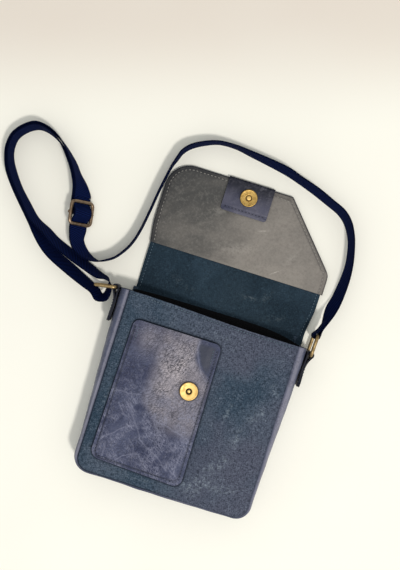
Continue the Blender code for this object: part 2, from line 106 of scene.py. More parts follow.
class Finish:  # one material and the nodes that make it
    def __init__(self, name, roughness, metallic=0.0, shades=None):
        self.shades = shades
        self.material = bpy.data.materials.new(name)
        self.material.use_nodes = True
        self.nodes = self.material.node_tree.nodes
        self.links = self.material.node_tree.links
        self.shader = self.nodes["Principled BSDF"]
        self.set({"Roughness": roughness, "Metallic": metallic})

    def feed(self, socket, value):
        if isinstance(value, Value):
            self.links.new(value.socket, socket)
        else:
            socket.default_value = value

    def set(self, sockets):
        for name, value in sockets.items():
            self.feed(self.shader.inputs[name], value)

    def node(self, kind, settings=None, sockets=None, output=0):
        made = self.nodes.new(kind)
        for name, setting in (settings or {}).items():
            setattr(made, name, setting)
        for name, value in (sockets or {}).items():
            self.feed(made.inputs[name], value)
        return Value(self, made.outputs[output])

    def place(self, output="Object"):
        return self.node("ShaderNodeTexCoord", output=output)

    def mark(self, name):  # a number kept on the mesh
        return self.node("ShaderNodeAttribute", {"attribute_name": name}, output="Fac")

    def turned(self, where, centre=(0, 0, 0), turn=0.0, size=(1, 1, 1)):
        sockets = {"Vector": where, "Location": Vector(centre) * mm}
        sockets["Rotation"] = (0.0, 0.0, math.radians(turn))
        sockets["Scale"] = size
        return self.node("ShaderNodeMapping", {"vector_type": "TEXTURE"}, sockets)

    def cloud(self, where, scale, detail=3.0, rough=0.5, warp=0.0):
        return self.node("ShaderNodeTexNoise", None, {
            "Vector": where, "Scale": scale, "Detail": detail, "Roughness": rough, "Distortion": warp})

    def cells(self, where, scale, feature="F1"):
        return self.node("ShaderNodeTexVoronoi", {"feature": feature}, {"Vector": where, "Scale": scale})

    def step(self, value, low, high):
        return self.node("ShaderNodeMapRange", {"interpolation_type": "SMOOTHSTEP"}, {
            "Value": value, "From Min": low, "From Max": high})

    def tint(self, mask, first, second):
        return self.node("ShaderNodeMix", {"data_type": "RGBA"}, {0: mask, 6: first, 7: second}, 2)

    def tones(self, mask, first, second):  # from one of its shades to another
        return self.tint(mask, ink(*self.shades[first]), ink(*self.shades[second]))

    def over(self, tone, shade, mask):  # one of its shades laid over a tone
        return self.tint(mask, tone, ink(*self.shades[shade]))

    def split(self, where, axis):
        return self.node("ShaderNodeSeparateXYZ", None, {0: where}, axis)

    def wave(self, value, period):  # ridges of that period, from 0 to 1
        sine = self.node("ShaderNodeMath", {"operation": "SINE"}, {0: value * (2 * math.pi / (period * mm))})
        return sine * 0.5 + 0.5

    def spot(self, where, centre, turn, length, width):  # a soft oval mark
        near = self.turned(where, centre, turn, (length * mm, width * mm, 1.0))
        flat = self.node("ShaderNodeVectorMath", {"operation": "MULTIPLY"}, {0: near, 1: (1.0, 1.0, 0.0)})
        far = self.node("ShaderNodeVectorMath", {"operation": "LENGTH"}, {0: flat}, "Value")
        return self.step(far, 1.0, 0.0)

    def cracks(self, where, turn, stretch, scale, width):  # thin lines between stretched cells
        lain = self.turned(where, turn=turn, size=(stretch, 1.0, 1.0))
        return self.step(self.cells(lain, scale, "DISTANCE_TO_EDGE"), width, 0.0)

    def warped(self, where, scale, amount):  # coordinates pushed about, amount in mm
        push = self.node("ShaderNodeTexNoise", None, {"Vector": where, "Scale": scale, "Detail": 3.0},
                         "Color")
        return self.node("ShaderNodeVectorMath", {"operation": "MULTIPLY_ADD"}, {
            0: push, 1: (amount * mm,) * 3, 2: where})

    def relief(self, height, depth, strength=1.0):  # depth in mm
        return self.node("ShaderNodeBump", None, {
            "Strength": strength, "Distance": depth * mm, "Height": height})


def patch(cols, rows, shape):  # a grid laid out by shape(u, v), which gives x, y, z and a flat place
    bm = bmesh.new()
    flatMap = bm.loops.layers.uv.new("UVMap")
    bmesh.ops.create_grid(bm, x_segments=cols, y_segments=rows, size=0.5)
    flat = {}
    for vert in bm.verts:
        x, y, z, s, t = shape(vert.co.x + 0.5, vert.co.y + 0.5)
        vert.co = Vector((x, y, z)) * mm
        flat[vert] = Vector((s, t)) * mm
    for face in bm.faces:
        face.smooth = True
        for loop in face.loops:
            loop[flatMap].uv = flat[loop.vert]
    return bm


def close(bm):  # joins edges that meet and turns the faces outwards
    bmesh.ops.remove_doubles(bm, verts=bm.verts, dist=weld)
    bmesh.ops.recalc_face_normals(bm, faces=bm.faces)


def aimFaces(bm, axis):  # faces agree, and the furthest one along the axis looks that way
    bmesh.ops.recalc_face_normals(bm, faces=bm.faces)
    furthest = max(bm.faces, key=lambda face: face.calc_center_median()[axis])
    if furthest.normal[axis] < 0:
        bmesh.ops.reverse_faces(bm, faces=bm.faces)


def settle(name, bm, *finishes):  # the bmesh becomes an object at the origin
    mesh = bpy.data.meshes.new(name)
    bm.to_mesh(mesh)
    bm.free()
    for finish in finishes:
        mesh.materials.append(finish.material)
    made = bpy.data.objects.new(name, mesh)
    scene.collection.objects.link(made)
    return made


def bake(made):  # modifiers become the mesh
    deps = bpy.context.evaluated_depsgraph_get()
    mesh = bpy.data.meshes.new_from_object(made.evaluated_get(deps))
    old = made.data
    made.modifiers.clear()
    made.data = mesh
    bpy.data.meshes.remove(old)


def thicken(made, thickness, offset=-1.0, inner=0, rim=0, edge=0.3):
    wall = made.modifiers.new("wall", "SOLIDIFY")
    wall.thickness = thickness * mm
    wall.offset = offset
    wall.material_offset = inner
    wall.material_offset_rim = rim
    if edge:
        soft = made.modifiers.new("edge", "BEVEL")
        soft.width = edge * mm
        soft.segments = 2
        soft.limit_method = "ANGLE"
        soft.angle_limit = sharp
    bake(made)
    if not edge:
        made.data.set_sharp_from_angle(angle=sharp)
    return made


def sew(made, finish, spots, length, width, rise):  # thread on a piece: place, way, normal
    made.data.materials.append(finish.material)
    slot = len(made.data.materials) - 1
    thread = bmesh.new()
    for spot, way, normal in spots:
        along = way.normalized()
        up = (normal - along * normal.dot(along)).normalized()
        turn = Matrix((along, up.cross(along), up)).transposed().to_4x4()
        shape = Matrix.Diagonal((length * mm / 2, width * mm / 2, rise * mm, 1.0))
        lay = Matrix.Translation(spot * mm) @ turn @ shape
        bmesh.ops.create_uvsphere(thread, u_segments=6, v_segments=4, radius=1.0, matrix=lay)
    for face in thread.faces:
        face.material_index = slot
        face.smooth = True
    sewn = bpy.data.meshes.new("thread")
    thread.to_mesh(sewn)
    thread.free()
    bm = bmesh.new()
    bm.from_mesh(made.data)
    bm.from_mesh(sewn)
    bm.to_mesh(made.data)
    bm.free()
    bpy.data.meshes.remove(sewn)


def stitchLine(points, pitch, height, jitter=0.08):  # even stitches along a line over height(x, y)
    spots = []
    left = pitch / 2
    for first, last in zip(points, points[1:]):
        start = Vector(first)
        way = Vector(last) - start
        reach = way.length
        while left <= reach:
            x, y = start + way * (left / reach)
            slip = Vector((-way.y, way.x)).normalized() * random.uniform(-jitter, jitter)
            x += slip.x
            y += slip.y
            here = Vector((x, y, height(x, y)))
            run = Vector((x + way.x / reach, y + way.y / reach))
            there = Vector((run.x, run.y, height(run.x, run.y)))
            across = Vector((-way.y, way.x)).normalized()
            beside = Vector((x + across.x, y + across.y, height(x + across.x, y + across.y)))
            spots.append((here, there - here, (there - here).cross(beside - here)))
            left += pitch
        left -= reach
    return spots


def sewLine(made, finish, points, height, pitch, size):  # size: a stitch's length, width and rise
    sew(made, finish, stitchLine(points, pitch, height), *size)


def between(quad, t):  # a smooth step from the second of four values to the third
    a, b, c, d = quad
    return (2 * b + (c - a) * t + (2 * a - 5 * b + 4 * c - d) * t * t + (3 * b - a - 3 * c + d) * t ** 3) / 2


def smoothPath(spots, spacing):
    spots = [spots[0]] + spots + [spots[-1]]
    path = []
    for index in range(1, len(spots) - 2):
        near = spots[index - 1:index + 3]
        steps = max(1, round((near[2][0] - near[1][0]).length / spacing))
        for step in range(steps):
            path.append(tuple(between(quad, step / steps) for quad in zip(*near)))
    path.append(spots[-2])
    return path


def pick(path, share):  # place on a path by share of its points
    place = share * (len(path) - 1)
    index = min(int(place), len(path) - 2)
    t = place - index
    return tuple(a * (1 - t) + b * t for a, b in zip(path[index], path[index + 1]))


def tube(name, path, finish, section, sides):  # a closed wire along places with a side way each
    count = len(path)

    def shape(u, v):
        index = round(v * count)
        here, side = path[index % count]
        way = (path[(index + 1) % count][0] - path[(index - 1) % count][0]).normalized()
        flat = (side - way * side.dot(way)).normalized()
        up = way.cross(flat)
        turn = 2 * math.pi * u
        spot = here + flat * section[0] * math.cos(turn) + up * section[1] * math.sin(turn)
        return (*spot, turn * section[0], v * 60)

    bm = patch(sides, count, shape)
    close(bm)
    return settle(name, bm, finish)


def lathe(name, profile, centre, finish, steps=48, groove=None):  # a turned piece standing on centre
    bm = bmesh.new()
    verts = [bm.verts.new((radius * mm, 0.0, height * mm)) for radius, height in profile]
    edges = [bm.edges.new(pair) for pair in zip(verts, verts[1:])]
    bmesh.ops.spin(bm, geom=verts + edges, cent=(0, 0, 0), axis=(0, 0, 1), angle=2 * math.pi,
                   steps=steps, use_merge=True)
    close(bm)
    for face in bm.faces:
        face.smooth = True
        far = face.calc_center_median().xy.length / mm
        if groove and groove["from"] < far < groove["to"]:
            face.material_index = 1
    bmesh.ops.translate(bm, verts=bm.verts, vec=Vector(centre) * mm)
    return settle(name, bm, finish, *([groove["finish"]] if groove else []))


def keepMark(made, name, measure):  # a number for each point, for the finish to read
    layer = made.data.attributes.new(name, "FLOAT", "POINT")
    for index, vert in enumerate(made.data.vertices):
        layer.data[index].value = measure(vert.co.x / mm, vert.co.y / mm)


def waxedCanvas(name, shades, marks, grain=1.0):
    finish = Finish(name, 0.66, shades=shades)
    where = finish.place()
    flat = finish.place("UV")
    broad = finish.cloud(where, 15, 4, 0.58, 0.4)
    tone = finish.tones(finish.step(broad, 0.36, 0.64), "dark", "light")
    east = finish.step(finish.split(where, 0), -0.06, 0.07)
    warm = finish.step(finish.cloud(where, 12, 3, 0.5), 0.4, 0.64) * (0.2 + 0.7 * east)
    tone = finish.over(tone, "warm", warm)
    warpSlub = finish.cloud(finish.turned(flat, size=(1.0, 5.0, 1.0)), 1250, 3, 0.6)
    weftSlub = finish.cloud(finish.turned(flat, size=(5.0, 1.0, 1.0)), 1250, 3, 0.6)
    slub = warpSlub * 0.5 + weftSlub * 0.5
    rub = finish.cloud(where, 120, 5, 0.68, 0.5)
    lift = finish.step(slub, 0.5, 0.6) * (finish.step(rub, 0.42, 0.64) * 0.4 + 0.22) * grain
    tone = finish.over(tone, "pale", lift)
    tone = finish.over(tone, "deep", finish.step(slub, 0.51, 0.41) * 0.75 * grain)
    nap = finish.cloud(finish.warped(where, 90, 5.0), 260, 5, 0.75)
    for centre, turn, length, width, strength in marks:
        worn = finish.spot(where, centre, turn, length, width) * finish.step(nap, 0.46, 0.62) * strength
        tone = finish.over(tone, "worn", worn * (0.5 + finish.step(slub, 0.42, 0.58) * 0.5))
    tone = finish.over(tone, "deep", finish.mark("paintedShade"))  # painted shade in the seams, beside the pocket and under the hem
    thread = finish.wave(finish.split(flat, 0), 0.9) * finish.wave(finish.split(flat, 1), 0.9)
    height = thread * 0.6 + slub * 1.7 + rub * 0.4
    rough = 0.78 - finish.step(broad, 0.35, 0.65) * 0.1
    finish.set({"Base Color": tone, "Roughness": rough, "Specular IOR Level": 0.22,
                "Normal": finish.relief(height, 0.16, 0.5)})
    return finish


def oiledLeather(name, shades, gloss, wrinkle, rubbed, paintedCrownLight=0.0, fade=None):
    finish = Finish(name, gloss, shades=shades)
    where = finish.place()
    broad = finish.cloud(where, 24, 4, 0.55, 0.4)
    tone = finish.tones(finish.step(broad, 0.38, 0.62), "dark", "light")
    if fade:  # darker towards one end
        tone = finish.tint(finish.step(finish.split(where, 1), *fade["over"]), tone, ink(*fade["shade"]))
    pores = finish.cells(where, 1050)
    bent = finish.warped(finish.warped(where, 60, 8.0), 240, 2.4)
    rub = finish.cloud(where, 200, 5, 0.7, 0.8)
    held = finish.step(finish.cloud(where, 75, 3, 0.55), 0.4, 0.6)
    web = 0.0
    for turn, stretch, scale in ((28, 2.4, 330), (-50, 1.6, 430)):
        web = finish.cracks(bent, turn, stretch, scale, 0.12) * 0.6 + web
    lines = web * (0.2 + 0.8 * held) * wrinkle
    tone = finish.over(tone, "pale", finish.step(rub, 0.46, 0.7) * (0.4 + 0.6 * held) * rubbed)
    if paintedCrownLight:  # painted highlight along the band's crown, painted shade at its outer turn
        crownLightAndShade = finish.mark("crownLightAndShade")
        tone = finish.over(tone, "pale", finish.step(crownLightAndShade, 0.0, 1.0) * paintedCrownLight)
        tone = finish.over(tone, "deep", finish.step(crownLightAndShade, 0.0, -1.0) * paintedCrownLight)
    tone = finish.over(tone, "deep", lines * 0.5)
    height = pores * 0.25 + rub * 0.9 * wrinkle - lines * 0.8
    rough = gloss + 0.12 - finish.step(broad, 0.35, 0.65) * 0.1
    finish.set({"Base Color": tone, "Roughness": rough, "Specular IOR Level": 0.35,
                "Normal": finish.relief(height, 0.3, 0.6)})
    return finish


def creasedLeather(name, shades):  # the pocket's: fine creases, a painted sheen, one smooth place
    finish = Finish(name, 0.55, shades=shades)
    where = finish.place()
    paintedSheen = finish.mark("paintedSheen")
    smooth = finish.mark("smooth")
    fold = finish.mark("crease")
    broad = finish.cloud(where, 30, 4, 0.55, 0.6)
    tone = finish.tones(finish.step(broad, 0.36, 0.64), "dark", "light")
    # the pocket's middle painted paler: a painted reflection of the lamps
    tone = finish.over(tone, "paintedSheen", paintedSheen)
    rub = finish.cloud(where, 190, 5, 0.72, 0.6)
    held = finish.step(finish.cloud(where, 62, 3, 0.55), 0.38, 0.6)
    tone = finish.over(tone, "pale", finish.step(rub, 0.48, 0.68) * (0.1 + 0.22 * held))
    bent = finish.warped(finish.warped(where, 42, 11.0), 230, 2.6)
    web = 0.0
    for turn, stretch, scale, amount in ((62, 3.0, 430, 0.85), (8, 2.6, 520, 0.7)):
        web = finish.cracks(bent, turn, stretch, scale, 0.17) * amount + web
    web = web * (0.5 + 0.5 * held) * (1 - smooth * 0.85)
    lower = finish.step(finish.split(where, 1), 0.02, -0.02)
    creases = 0.0
    for turn, stretch, scale in ((-28, 6.0, 420), (-50, 5.0, 520), (-75, 4.0, 460)):
        kept = finish.step(finish.cloud(where, 55 + scale / 16, 3, 0.5), 0.42, 0.58)
        creases = finish.cracks(bent, turn, stretch, scale, 0.14) * kept + creases
    creases = creases * (0.12 + 0.88 * lower) * (1 - smooth)
    # the crease lines painted darker as shade in their valleys, most under the painted reflection
    tone = finish.over(tone, "deep", web * (0.34 + 0.4 * paintedSheen))
    tone = finish.over(tone, "pale", creases * 0.27)
    tone = finish.over(tone, "pale", fold * 0.36)
    tone = finish.over(tone, "smooth", smooth * 0.85)
    # painted shade in the sewn groove and round the snap
    tone = finish.over(tone, "deep", finish.mark("paintedShade"))
    height = rub * 0.6 - web * 1.1 + creases * 0.5 + finish.cells(where, 1100) * 0.2
    rough = 0.66 - finish.step(broad, 0.35, 0.65) * 0.06 - paintedSheen * 0.2 - smooth * 0.1
    finish.set({"Base Color": tone, "Roughness": rough, "Specular IOR Level": 0.3,
                "Normal": finish.relief(height, 0.32, 0.7)})
    return finish


def fleshLeather(name, shades, marks):
    finish = Finish(name, 0.86, shades=shades)
    where = finish.place()
    east = finish.step(finish.split(where, 0), -0.08, 0.05)
    north = finish.step(finish.split(where, 1), 0.16, 0.225)
    broad = finish.cloud(finish.turned(where, turn=35, size=(2.2, 1.0, 1.0)), 34, 4, 0.55, 0.5)
    light = finish.step(broad, 0.34, 0.66) * 0.24 + east * 0.56 - north * 0.2 + 0.1
    tone = finish.tones(finish.step(light, 0.0, 0.9), "dark", "light")
    nap = finish.cloud(where, 420, 4, 0.7)
    blotch = finish.cloud(where, 110, 4, 0.65)
    tone = finish.over(tone, "pale", finish.step(nap * 0.7 + blotch * 0.3, 0.48, 0.66) * 0.16)
    tone = finish.over(tone, "deep", finish.step(nap * 0.7 + blotch * 0.3, 0.52, 0.36) * 0.16)
    for centre, turn, length, width, strength in marks:
        worn = finish.spot(where, centre, turn, length, width) * finish.step(nap, 0.36, 0.56) * strength
        tone = finish.over(tone, "worn", worn)
    tone = finish.over(tone, "edge", finish.mark("border"))
    height = nap + blotch * 0.6
    finish.set({"Base Color": tone, "Specular IOR Level": 0.2,
                "Normal": finish.relief(height, 0.2, 0.45)})
    return finish


def oldBrass(name, shades, rough, pitted):
    finish = Finish(name, rough, 1.0, shades)
    where = finish.place()
    stain = finish.cloud(where, 300, 4, 0.6)
    pits = finish.cloud(where, 1300, 3, 0.65)
    tone = finish.tones(finish.step(stain, 0.42, 0.7), "light", "dark")
    tone = finish.over(tone, "deep", finish.step(pits, 0.5, 0.72) * pitted)
    finish.set({
        "Base Color": tone, "Roughness": rough + finish.step(stain, 0.4, 0.7) * 0.14,
        "Normal": finish.relief(pits + stain * 0.5, 0.03, 0.1 + pitted * 0.5)})
    return finish


def ribbedWebbing(name, shades):
    finish = Finish(name, 0.85, shades=shades)
    flat = finish.place("UV")
    where = finish.place()
    across, along = finish.split(flat, 0), finish.split(flat, 1)
    rib = finish.wave(along + across * 0.45, 1.9)
    cord = finish.wave(across, 1.25)
    fuzz = finish.cloud(where, 500, 3, 0.6)
    height = rib * (0.6 + 0.4 * cord) + fuzz * 0.3
    tone = finish.tones(finish.step(height, 0.2, 1.0), "deep", "light")
    tone = finish.over(tone, "dark", finish.step(finish.cloud(where, 40, 3, 0.5), 0.45, 0.8) * 0.5)
    off = finish.node("ShaderNodeMath", {"operation": "ABSOLUTE"}, {0: across - 0.01})
    tone = finish.over(tone, "deep", finish.step(off, 0.0085, 0.0095) * 0.7)  # the selvedges
    finish.set({"Base Color": tone, "Specular IOR Level": 0.02,
                "Normal": finish.relief(height, 0.3, 0.6)})
    return finish


def plainCloth(name, shade, pale):
    finish = Finish(name, 0.9)
    flat = finish.place("UV")
    thread = finish.wave(finish.split(flat, 0), 0.7) * finish.wave(finish.split(flat, 1), 0.7)
    fuzz = finish.cloud(flat, 700, 3, 0.6)
    tone = finish.tint(finish.step(fuzz + thread * 0.3, 0.4, 1.0), ink(*shade), ink(*pale))
    finish.set({"Base Color": tone, "Specular IOR Level": 0.15,
                "Normal": finish.relief(thread + fuzz, 0.15, 0.5)})
    return finish


def sewingThread(name, shade, pale):
    finish = Finish(name, 0.7)
    ply = finish.cloud(finish.place(), 1500, 2, 0.6)
    tone = finish.tint(finish.step(ply, 0.35, 0.7), ink(*shade), ink(*pale))
    finish.set({"Base Color": tone, "Normal": finish.relief(ply, 0.08, 0.5)})
    return finish


def cutEdge(name, shade, pale):
    finish = Finish(name, 0.55)
    grain = finish.cloud(finish.place(), 700, 4, 0.7)
    tone = finish.tint(finish.step(grain, 0.45, 0.75), ink(*shade), ink(*pale))
    finish.set({"Base Color": tone, "Specular IOR Level": 0.2,
                "Normal": finish.relief(grain, 0.12, 0.5)})
    return finish


canvasShades = {"light": (66, 80, 97), "dark": (42, 62, 80), "warm": (74, 77, 95), "pale": (112, 122, 138),
                "deep": (20, 30, 44), "worn": (150, 162, 174)}
stripShades = {"light": (32, 54, 70), "dark": (17, 37, 51), "warm": (32, 50, 63), "pale": (66, 86, 100),
               "deep": (6, 15, 24), "worn": (110, 122, 128)}
# the pocket's palest shade is a painted reflection of the lamps
pocketShades = {"light": (73, 79, 106), "dark": (47, 53, 82), "pale": (146, 148, 170),
                "deep": (24, 27, 42), "paintedSheen": (176, 168, 174), "smooth": (44, 48, 63)}
leatherShades = {"light": (94, 98, 120), "dark": (72, 78, 102), "pale": (146, 144, 158),
                 "deep": (40, 44, 60)}
tabShades = {"light": (82, 82, 100), "dark": (52, 55, 78), "pale": (130, 127, 140), "deep": (12, 15, 30)}
loopShades = {"light": (26, 32, 54), "dark": (12, 17, 34), "pale": (70, 75, 98), "deep": (5, 7, 15)}
fleshShades = {"light": (142, 136, 130), "dark": (74, 74, 74), "pale": (168, 163, 157),
               "deep": (56, 54, 54), "worn": (206, 200, 192), "edge": (30, 32, 40)}
brassShades = {"light": (232, 198, 128), "dark": (222, 186, 116), "deep": (170, 136, 78)}
wornBrassShades = {"light": (170, 146, 104), "dark": (122, 102, 70), "deep": (56, 44, 28)}
bronzeShades = {"light": (150, 128, 106), "dark": (104, 86, 70), "deep": (44, 34, 26)}
speckledBrassShades = {"light": (206, 170, 100), "dark": (160, 128, 70), "deep": (84, 62, 28)}
webShades = {"light": (19, 33, 82), "dark": (9, 18, 53), "deep": (2, 5, 21)}

frontMarks = [  # place, turn, length, width, strength
    ((46, -50, 36), 45, 24, 9, 0.6), ((36, -72, 36), 20, 24, 10, 0.6), ((56, -20, 36), 80, 18, 8, 0.5),
    ((66, 4, 36), 40, 14, 7, 0.45), ((78, 36, 36), -50, 12, 6, 0.4), ((26, -82, 36), -15, 20, 8, 0.5),
    ((40, 2, 36), 80, 16, 4, 0.5), ((-79, -20, 36), 80, 18, 4, 0.5), ((60, -72, 36), 15, 22, 8, 0.4),
    ((74, 12, 36), -55, 12, 3, 0.5), ((-30, -86, 36), 0, 40, 4, 0.3), ((10, 70, 36), 0, 26, 5, 0.3)]
stripMarks = [((28, 116, 3), 5, 15, 4, 0.5), ((46, 124, 3), 60, 12, 5, 0.45),
              ((60, 104, 3), 20, 18, 5, 0.35), ((-40, 110, 3), -20, 22, 6, 0.25)]
fleshMarks = [((46, 149, 4), 38, 9, 0.7, 0.6), ((22, 186, 4), 20, 8, 1.2, 0.3),
              ((58, 168, 4), 60, 16, 5, 0.12), ((0, 160, 4), 15, 30, 9, 0.12),
              ((-22, 196, 4), 30, 26, 7, 0.16)]

frontCanvas = waxedCanvas("blue waxed canvas", canvasShades, frontMarks)
stripCanvas = waxedCanvas("navy waxed canvas", stripShades, stripMarks, 0.6)
pocketLeather = creasedLeather("creased blue leather", pocketShades)
gussetLeather = oiledLeather("blue leather", leatherShades, 0.5, 0.8, 0.3, 0.55)
flapOutside = oiledLeather("flap leather", leatherShades, 0.5, 0.9, 0.35)
tabLeather = oiledLeather("dark blue leather", tabShades, 0.4, 0.6, 0.3,
                          fade={"over": (0.205, 0.226), "shade": (12, 16, 34)})
loopLeather = oiledLeather("loop leather", loopShades, 0.45, 0.5, 0.25)
fleshSide = fleshLeather("leather flesh side", fleshShades, fleshMarks)
brass = oldBrass("antique brass", brassShades, 0.5, 0.06)
wornBrass = oldBrass("worn brass", wornBrassShades, 0.34, 0.4)
bronze = oldBrass("dark bronze", bronzeShades, 0.32, 0.4)
# near-black brass for the snaps' grooves: painted shade in the recess
grooveShadeBrass = oldBrass("brass painted with groove shade", {"light": (64, 50, 28), "dark": (44, 34, 18), "deep": (22, 16, 8)},
                     0.6, 0.3)
speckledBrass = oldBrass("speckled brass", speckledBrassShades, 0.4, 0.7)
webbing = ribbedWebbing("navy webbing", webShades)
liningCloth = plainCloth("black lining cloth", (7, 7, 9), (20, 20, 24))
darkThread = sewingThread("dark thread", (8, 11, 20), (26, 30, 42))
navyThread = sewingThread("navy thread", (22, 30, 44), (48, 58, 74))
tealThread = sewingThread("teal thread", (72, 92, 108), (104, 122, 136))
paleThread = sewingThread("grey thread", (134, 131, 126), (176, 172, 166))
darkEdge = cutEdge("painted leather edge", (22, 26, 38), (58, 62, 78))
pocketRim = cutEdge("pocket edge", (70, 74, 94), (124, 126, 146))
loopEdge = cutEdge("loop edge", (10, 13, 26), (38, 42, 60))
paleEdge = cutEdge("worn leather edge", (120, 120, 128), (168, 166, 168))
print("finishes made")

bagForm = {"half": 88.0, "bottom": -95.2, "frontTop": 88.0, "backTop": 93.0, "corner": 13.5, "depth": 35.0,
           "swell": 10.0, "lowSwell": 4.4, "bottomSwell": 2.4, "floorSwell": 1.2, "fullness": 0.8,
           "slope": 3.2}


def frontTop(x):  # the mouth's front edge, lower towards the right
    return bagForm["frontTop"] + 0.3 - bagForm["slope"] * ease(-75, 45, x)


def bagRow(v, top, share=0.14):  # height on the bag and half its width there, closer rows round the corners
    corner, bottom = bagForm["corner"], bagForm["bottom"]
    if v < share:
        turn = v / share * math.pi / 2
        return bottom + corner * (1 - math.cos(turn)), bagForm["half"] - corner * (1 - math.sin(turn))
    return bottom + corner + (top - bottom - corner) * (v - share) / (1 - share), bagForm["half"]


def insideEdge(x, y, middle, half, low, corner):  # how far inside an outline with round lower corners
    out = abs(x - middle) - half + corner
    down = low + corner - y
    if out > 0 and down > 0:
        return corner - math.hypot(out, down)
    return min(half - abs(x - middle), y - low)


def edgeDistance(x, y):  # how far inside the panel's sewn edge
    return insideEdge(x, y, 0.0, bagForm["half"], bagForm["bottom"], bagForm["corner"])


frontForm = {"roll": 2.4, "rightRoll": 1.3, "rollReach": 11.0, "sag": 1.2, "wave": 0.35, "hem": 8.0,
             "hemRise": 0.35}


def frontHeight(x, y):
    near = 1 - min(1.0, max(0.0, edgeDistance(x, y)) / frontForm["rollReach"])
    roll = mix(frontForm["roll"], frontForm["rightRoll"], ease(-20, 60, x))
    sag = frontForm["sag"] * ease(45, 88, y) * (1 - (x / 88) ** 2)
    low = frontTop(x) - frontForm["hem"]
    hem = frontForm["hemRise"] * ease(low - 1.2, low + 0.6, y)
    return bagForm["depth"] - roll * near ** 2 - sag + hem + frontForm["wave"] * lumps(x, y, 34)


def frontShape(u, v):
    _, half = bagRow(v, bagForm["frontTop"])
    x = half * (2 * u - 1)
    y, _ = bagRow(v, frontTop(x))
    return x, y, frontHeight(x, y), x, y


pocketForm = {"left": -75.5, "right": 16.5, "low": -80.5, "top": 63.5, "corner": 9.0, "topCorner": 6.5,
              "edge": 36.75, "puff": 1.75, "reach": 13.0, "lip": 0.5, "taper": 0.026, "skew": 2.0,
              "lowShare": 0.1, "topShare": 0.92}
pocketMiddle = (pocketForm["left"] + pocketForm["right"]) / 2
pocketHalf = (pocketForm["right"] - pocketForm["left"]) / 2
snapForm = {"x": -2.4, "pocketY": 11.3, "pocketZ": 38.8, "flapY": 213.2, "flapZ": 6.9}


def pocketSkew(x, y):
    return pocketForm["skew"] * (x - pocketMiddle) / pocketHalf * ease(30, pocketForm["low"], y)


def snapDistance(x, y):  # from the middle of the pocket's snap
    return math.hypot(x - snapForm["x"], y - snapForm["pocketY"])


def pocketPlace(x, y):  # a little narrower towards the mouth, its bottom edge not quite square
    narrow = 1 - pocketForm["taper"] * (y + 8.5) / 72
    return pocketMiddle + (x - pocketMiddle) * narrow, y - pocketSkew(x, y)


def frontPaintedShade(x, y):  # painted shade beside the pocket's edge, in the side seams (more on the left) and under the hem's stitches
    half = abs(pocketPlace(pocketForm["right"], y)[0] - pocketMiddle)
    corner = pocketForm["topCorner"] if y > 0 else pocketForm["corner"]
    tall = (pocketForm["top"] - pocketForm["low"]) / 2
    out = abs(x - pocketMiddle) - half + corner
    up = abs(y + pocketSkew(x, y) - (pocketForm["top"] + pocketForm["low"]) / 2) - tall + corner
    far = math.hypot(max(0.0, out), max(0.0, up)) + min(0.0, max(out, up)) - corner
    pocketSide = 0.9 * (1 - ease(0.6, 2.4, far))
    seam = (0.85 if x < 0 else 0.35) * (1 - ease(0.4, 1.8, edgeDistance(x, y)))
    hem = 0.5 * bump(frontTop(x) - 2.8 - y, 0.8)
    return max(pocketSide, seam, hem)


frontPanel = settle("frontPanel", patch(170, 180, frontShape), frontCanvas)
keepMark(frontPanel, "paintedShade", frontPaintedShade)
thicken(frontPanel, 1.5, edge=0.4)
hemLine = [(x, frontTop(x) - 2.8) for x in range(-84, 85, 8)]
sewLine(frontPanel, tealThread, hemLine, frontHeight, 3.1, (2.1, 0.8, 0.3))
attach(frontPanel, "bag")
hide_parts("front_panel")


def backShape(u, v):
    y, half = bagRow(v, bagForm["backTop"])
    x = half * (1 - 2 * u)
    near = 1 - min(1.0, max(0.0, edgeDistance(x, y)) / 11.0)
    return x, y, 2.2 * near ** 2 + 0.15 * (1 + lumps(x, y, 40, 3.0)) * (1 - near), x, y


backPanel = thicken(settle("backPanel", patch(80, 100, backShape), frontCanvas), 1.5, edge=0.4)
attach(backPanel, "bag")
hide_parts("back_panel")

gussetForm = {"gap": 0.1, "low": 1.3, "high": 34.4, "crease": 0.6, "dip": 1.1, "leftDip": 2.0,
              "dipReach": 1.5}


def gussetPath(steps):  # round the bag from the left of the mouth: place, outward way, swell
    half, corner, bottom = bagForm["half"], bagForm["corner"], bagForm["bottom"]
    path = []
    for step in range(steps["side"]):
        y = bagForm["frontTop"] - (bagForm["frontTop"] - bottom - corner) * step / steps["side"]
        swell = mix(bagForm["lowSwell"], bagForm["swell"], ease(-90, 80, y))
        path.append((Vector((-half, y)), Vector((-1.0, 0.0)), swell))
    for step in range(steps["corner"] + 1):
        turn = math.pi / 2 * step / steps["corner"]
        out = Vector((-math.cos(turn), -math.sin(turn)))
        share = ease(0, 1, step / steps["corner"])
        swell = bagForm["lowSwell"] * (1 - share) + bagForm["bottomSwell"] * share
        path.append((Vector((-half + corner, bottom + corner)) + out * corner, out, swell))
    for step in range(1, steps["floor"]):
        x = (half - corner) * step / steps["floor"]
        swell = bagForm["bottomSwell"] + bagForm["floorSwell"] * ease(0, half - corner, x)
        path.append((Vector((-half + corner + x, bottom)), Vector((0.0, -1.0)), swell))
    path.append((Vector((0.0, bottom)), Vector((0.0, -1.0)), bagForm["bottomSwell"] + bagForm["floorSwell"]))
    other = [(Vector((-p.x, p.y)), Vector((-o.x, o.y)), swell) for p, o, swell in path[:-1]]
    return path + other[::-1]


gussetStations = gussetPath({"side": 50, "corner": 14, "floor": 34})


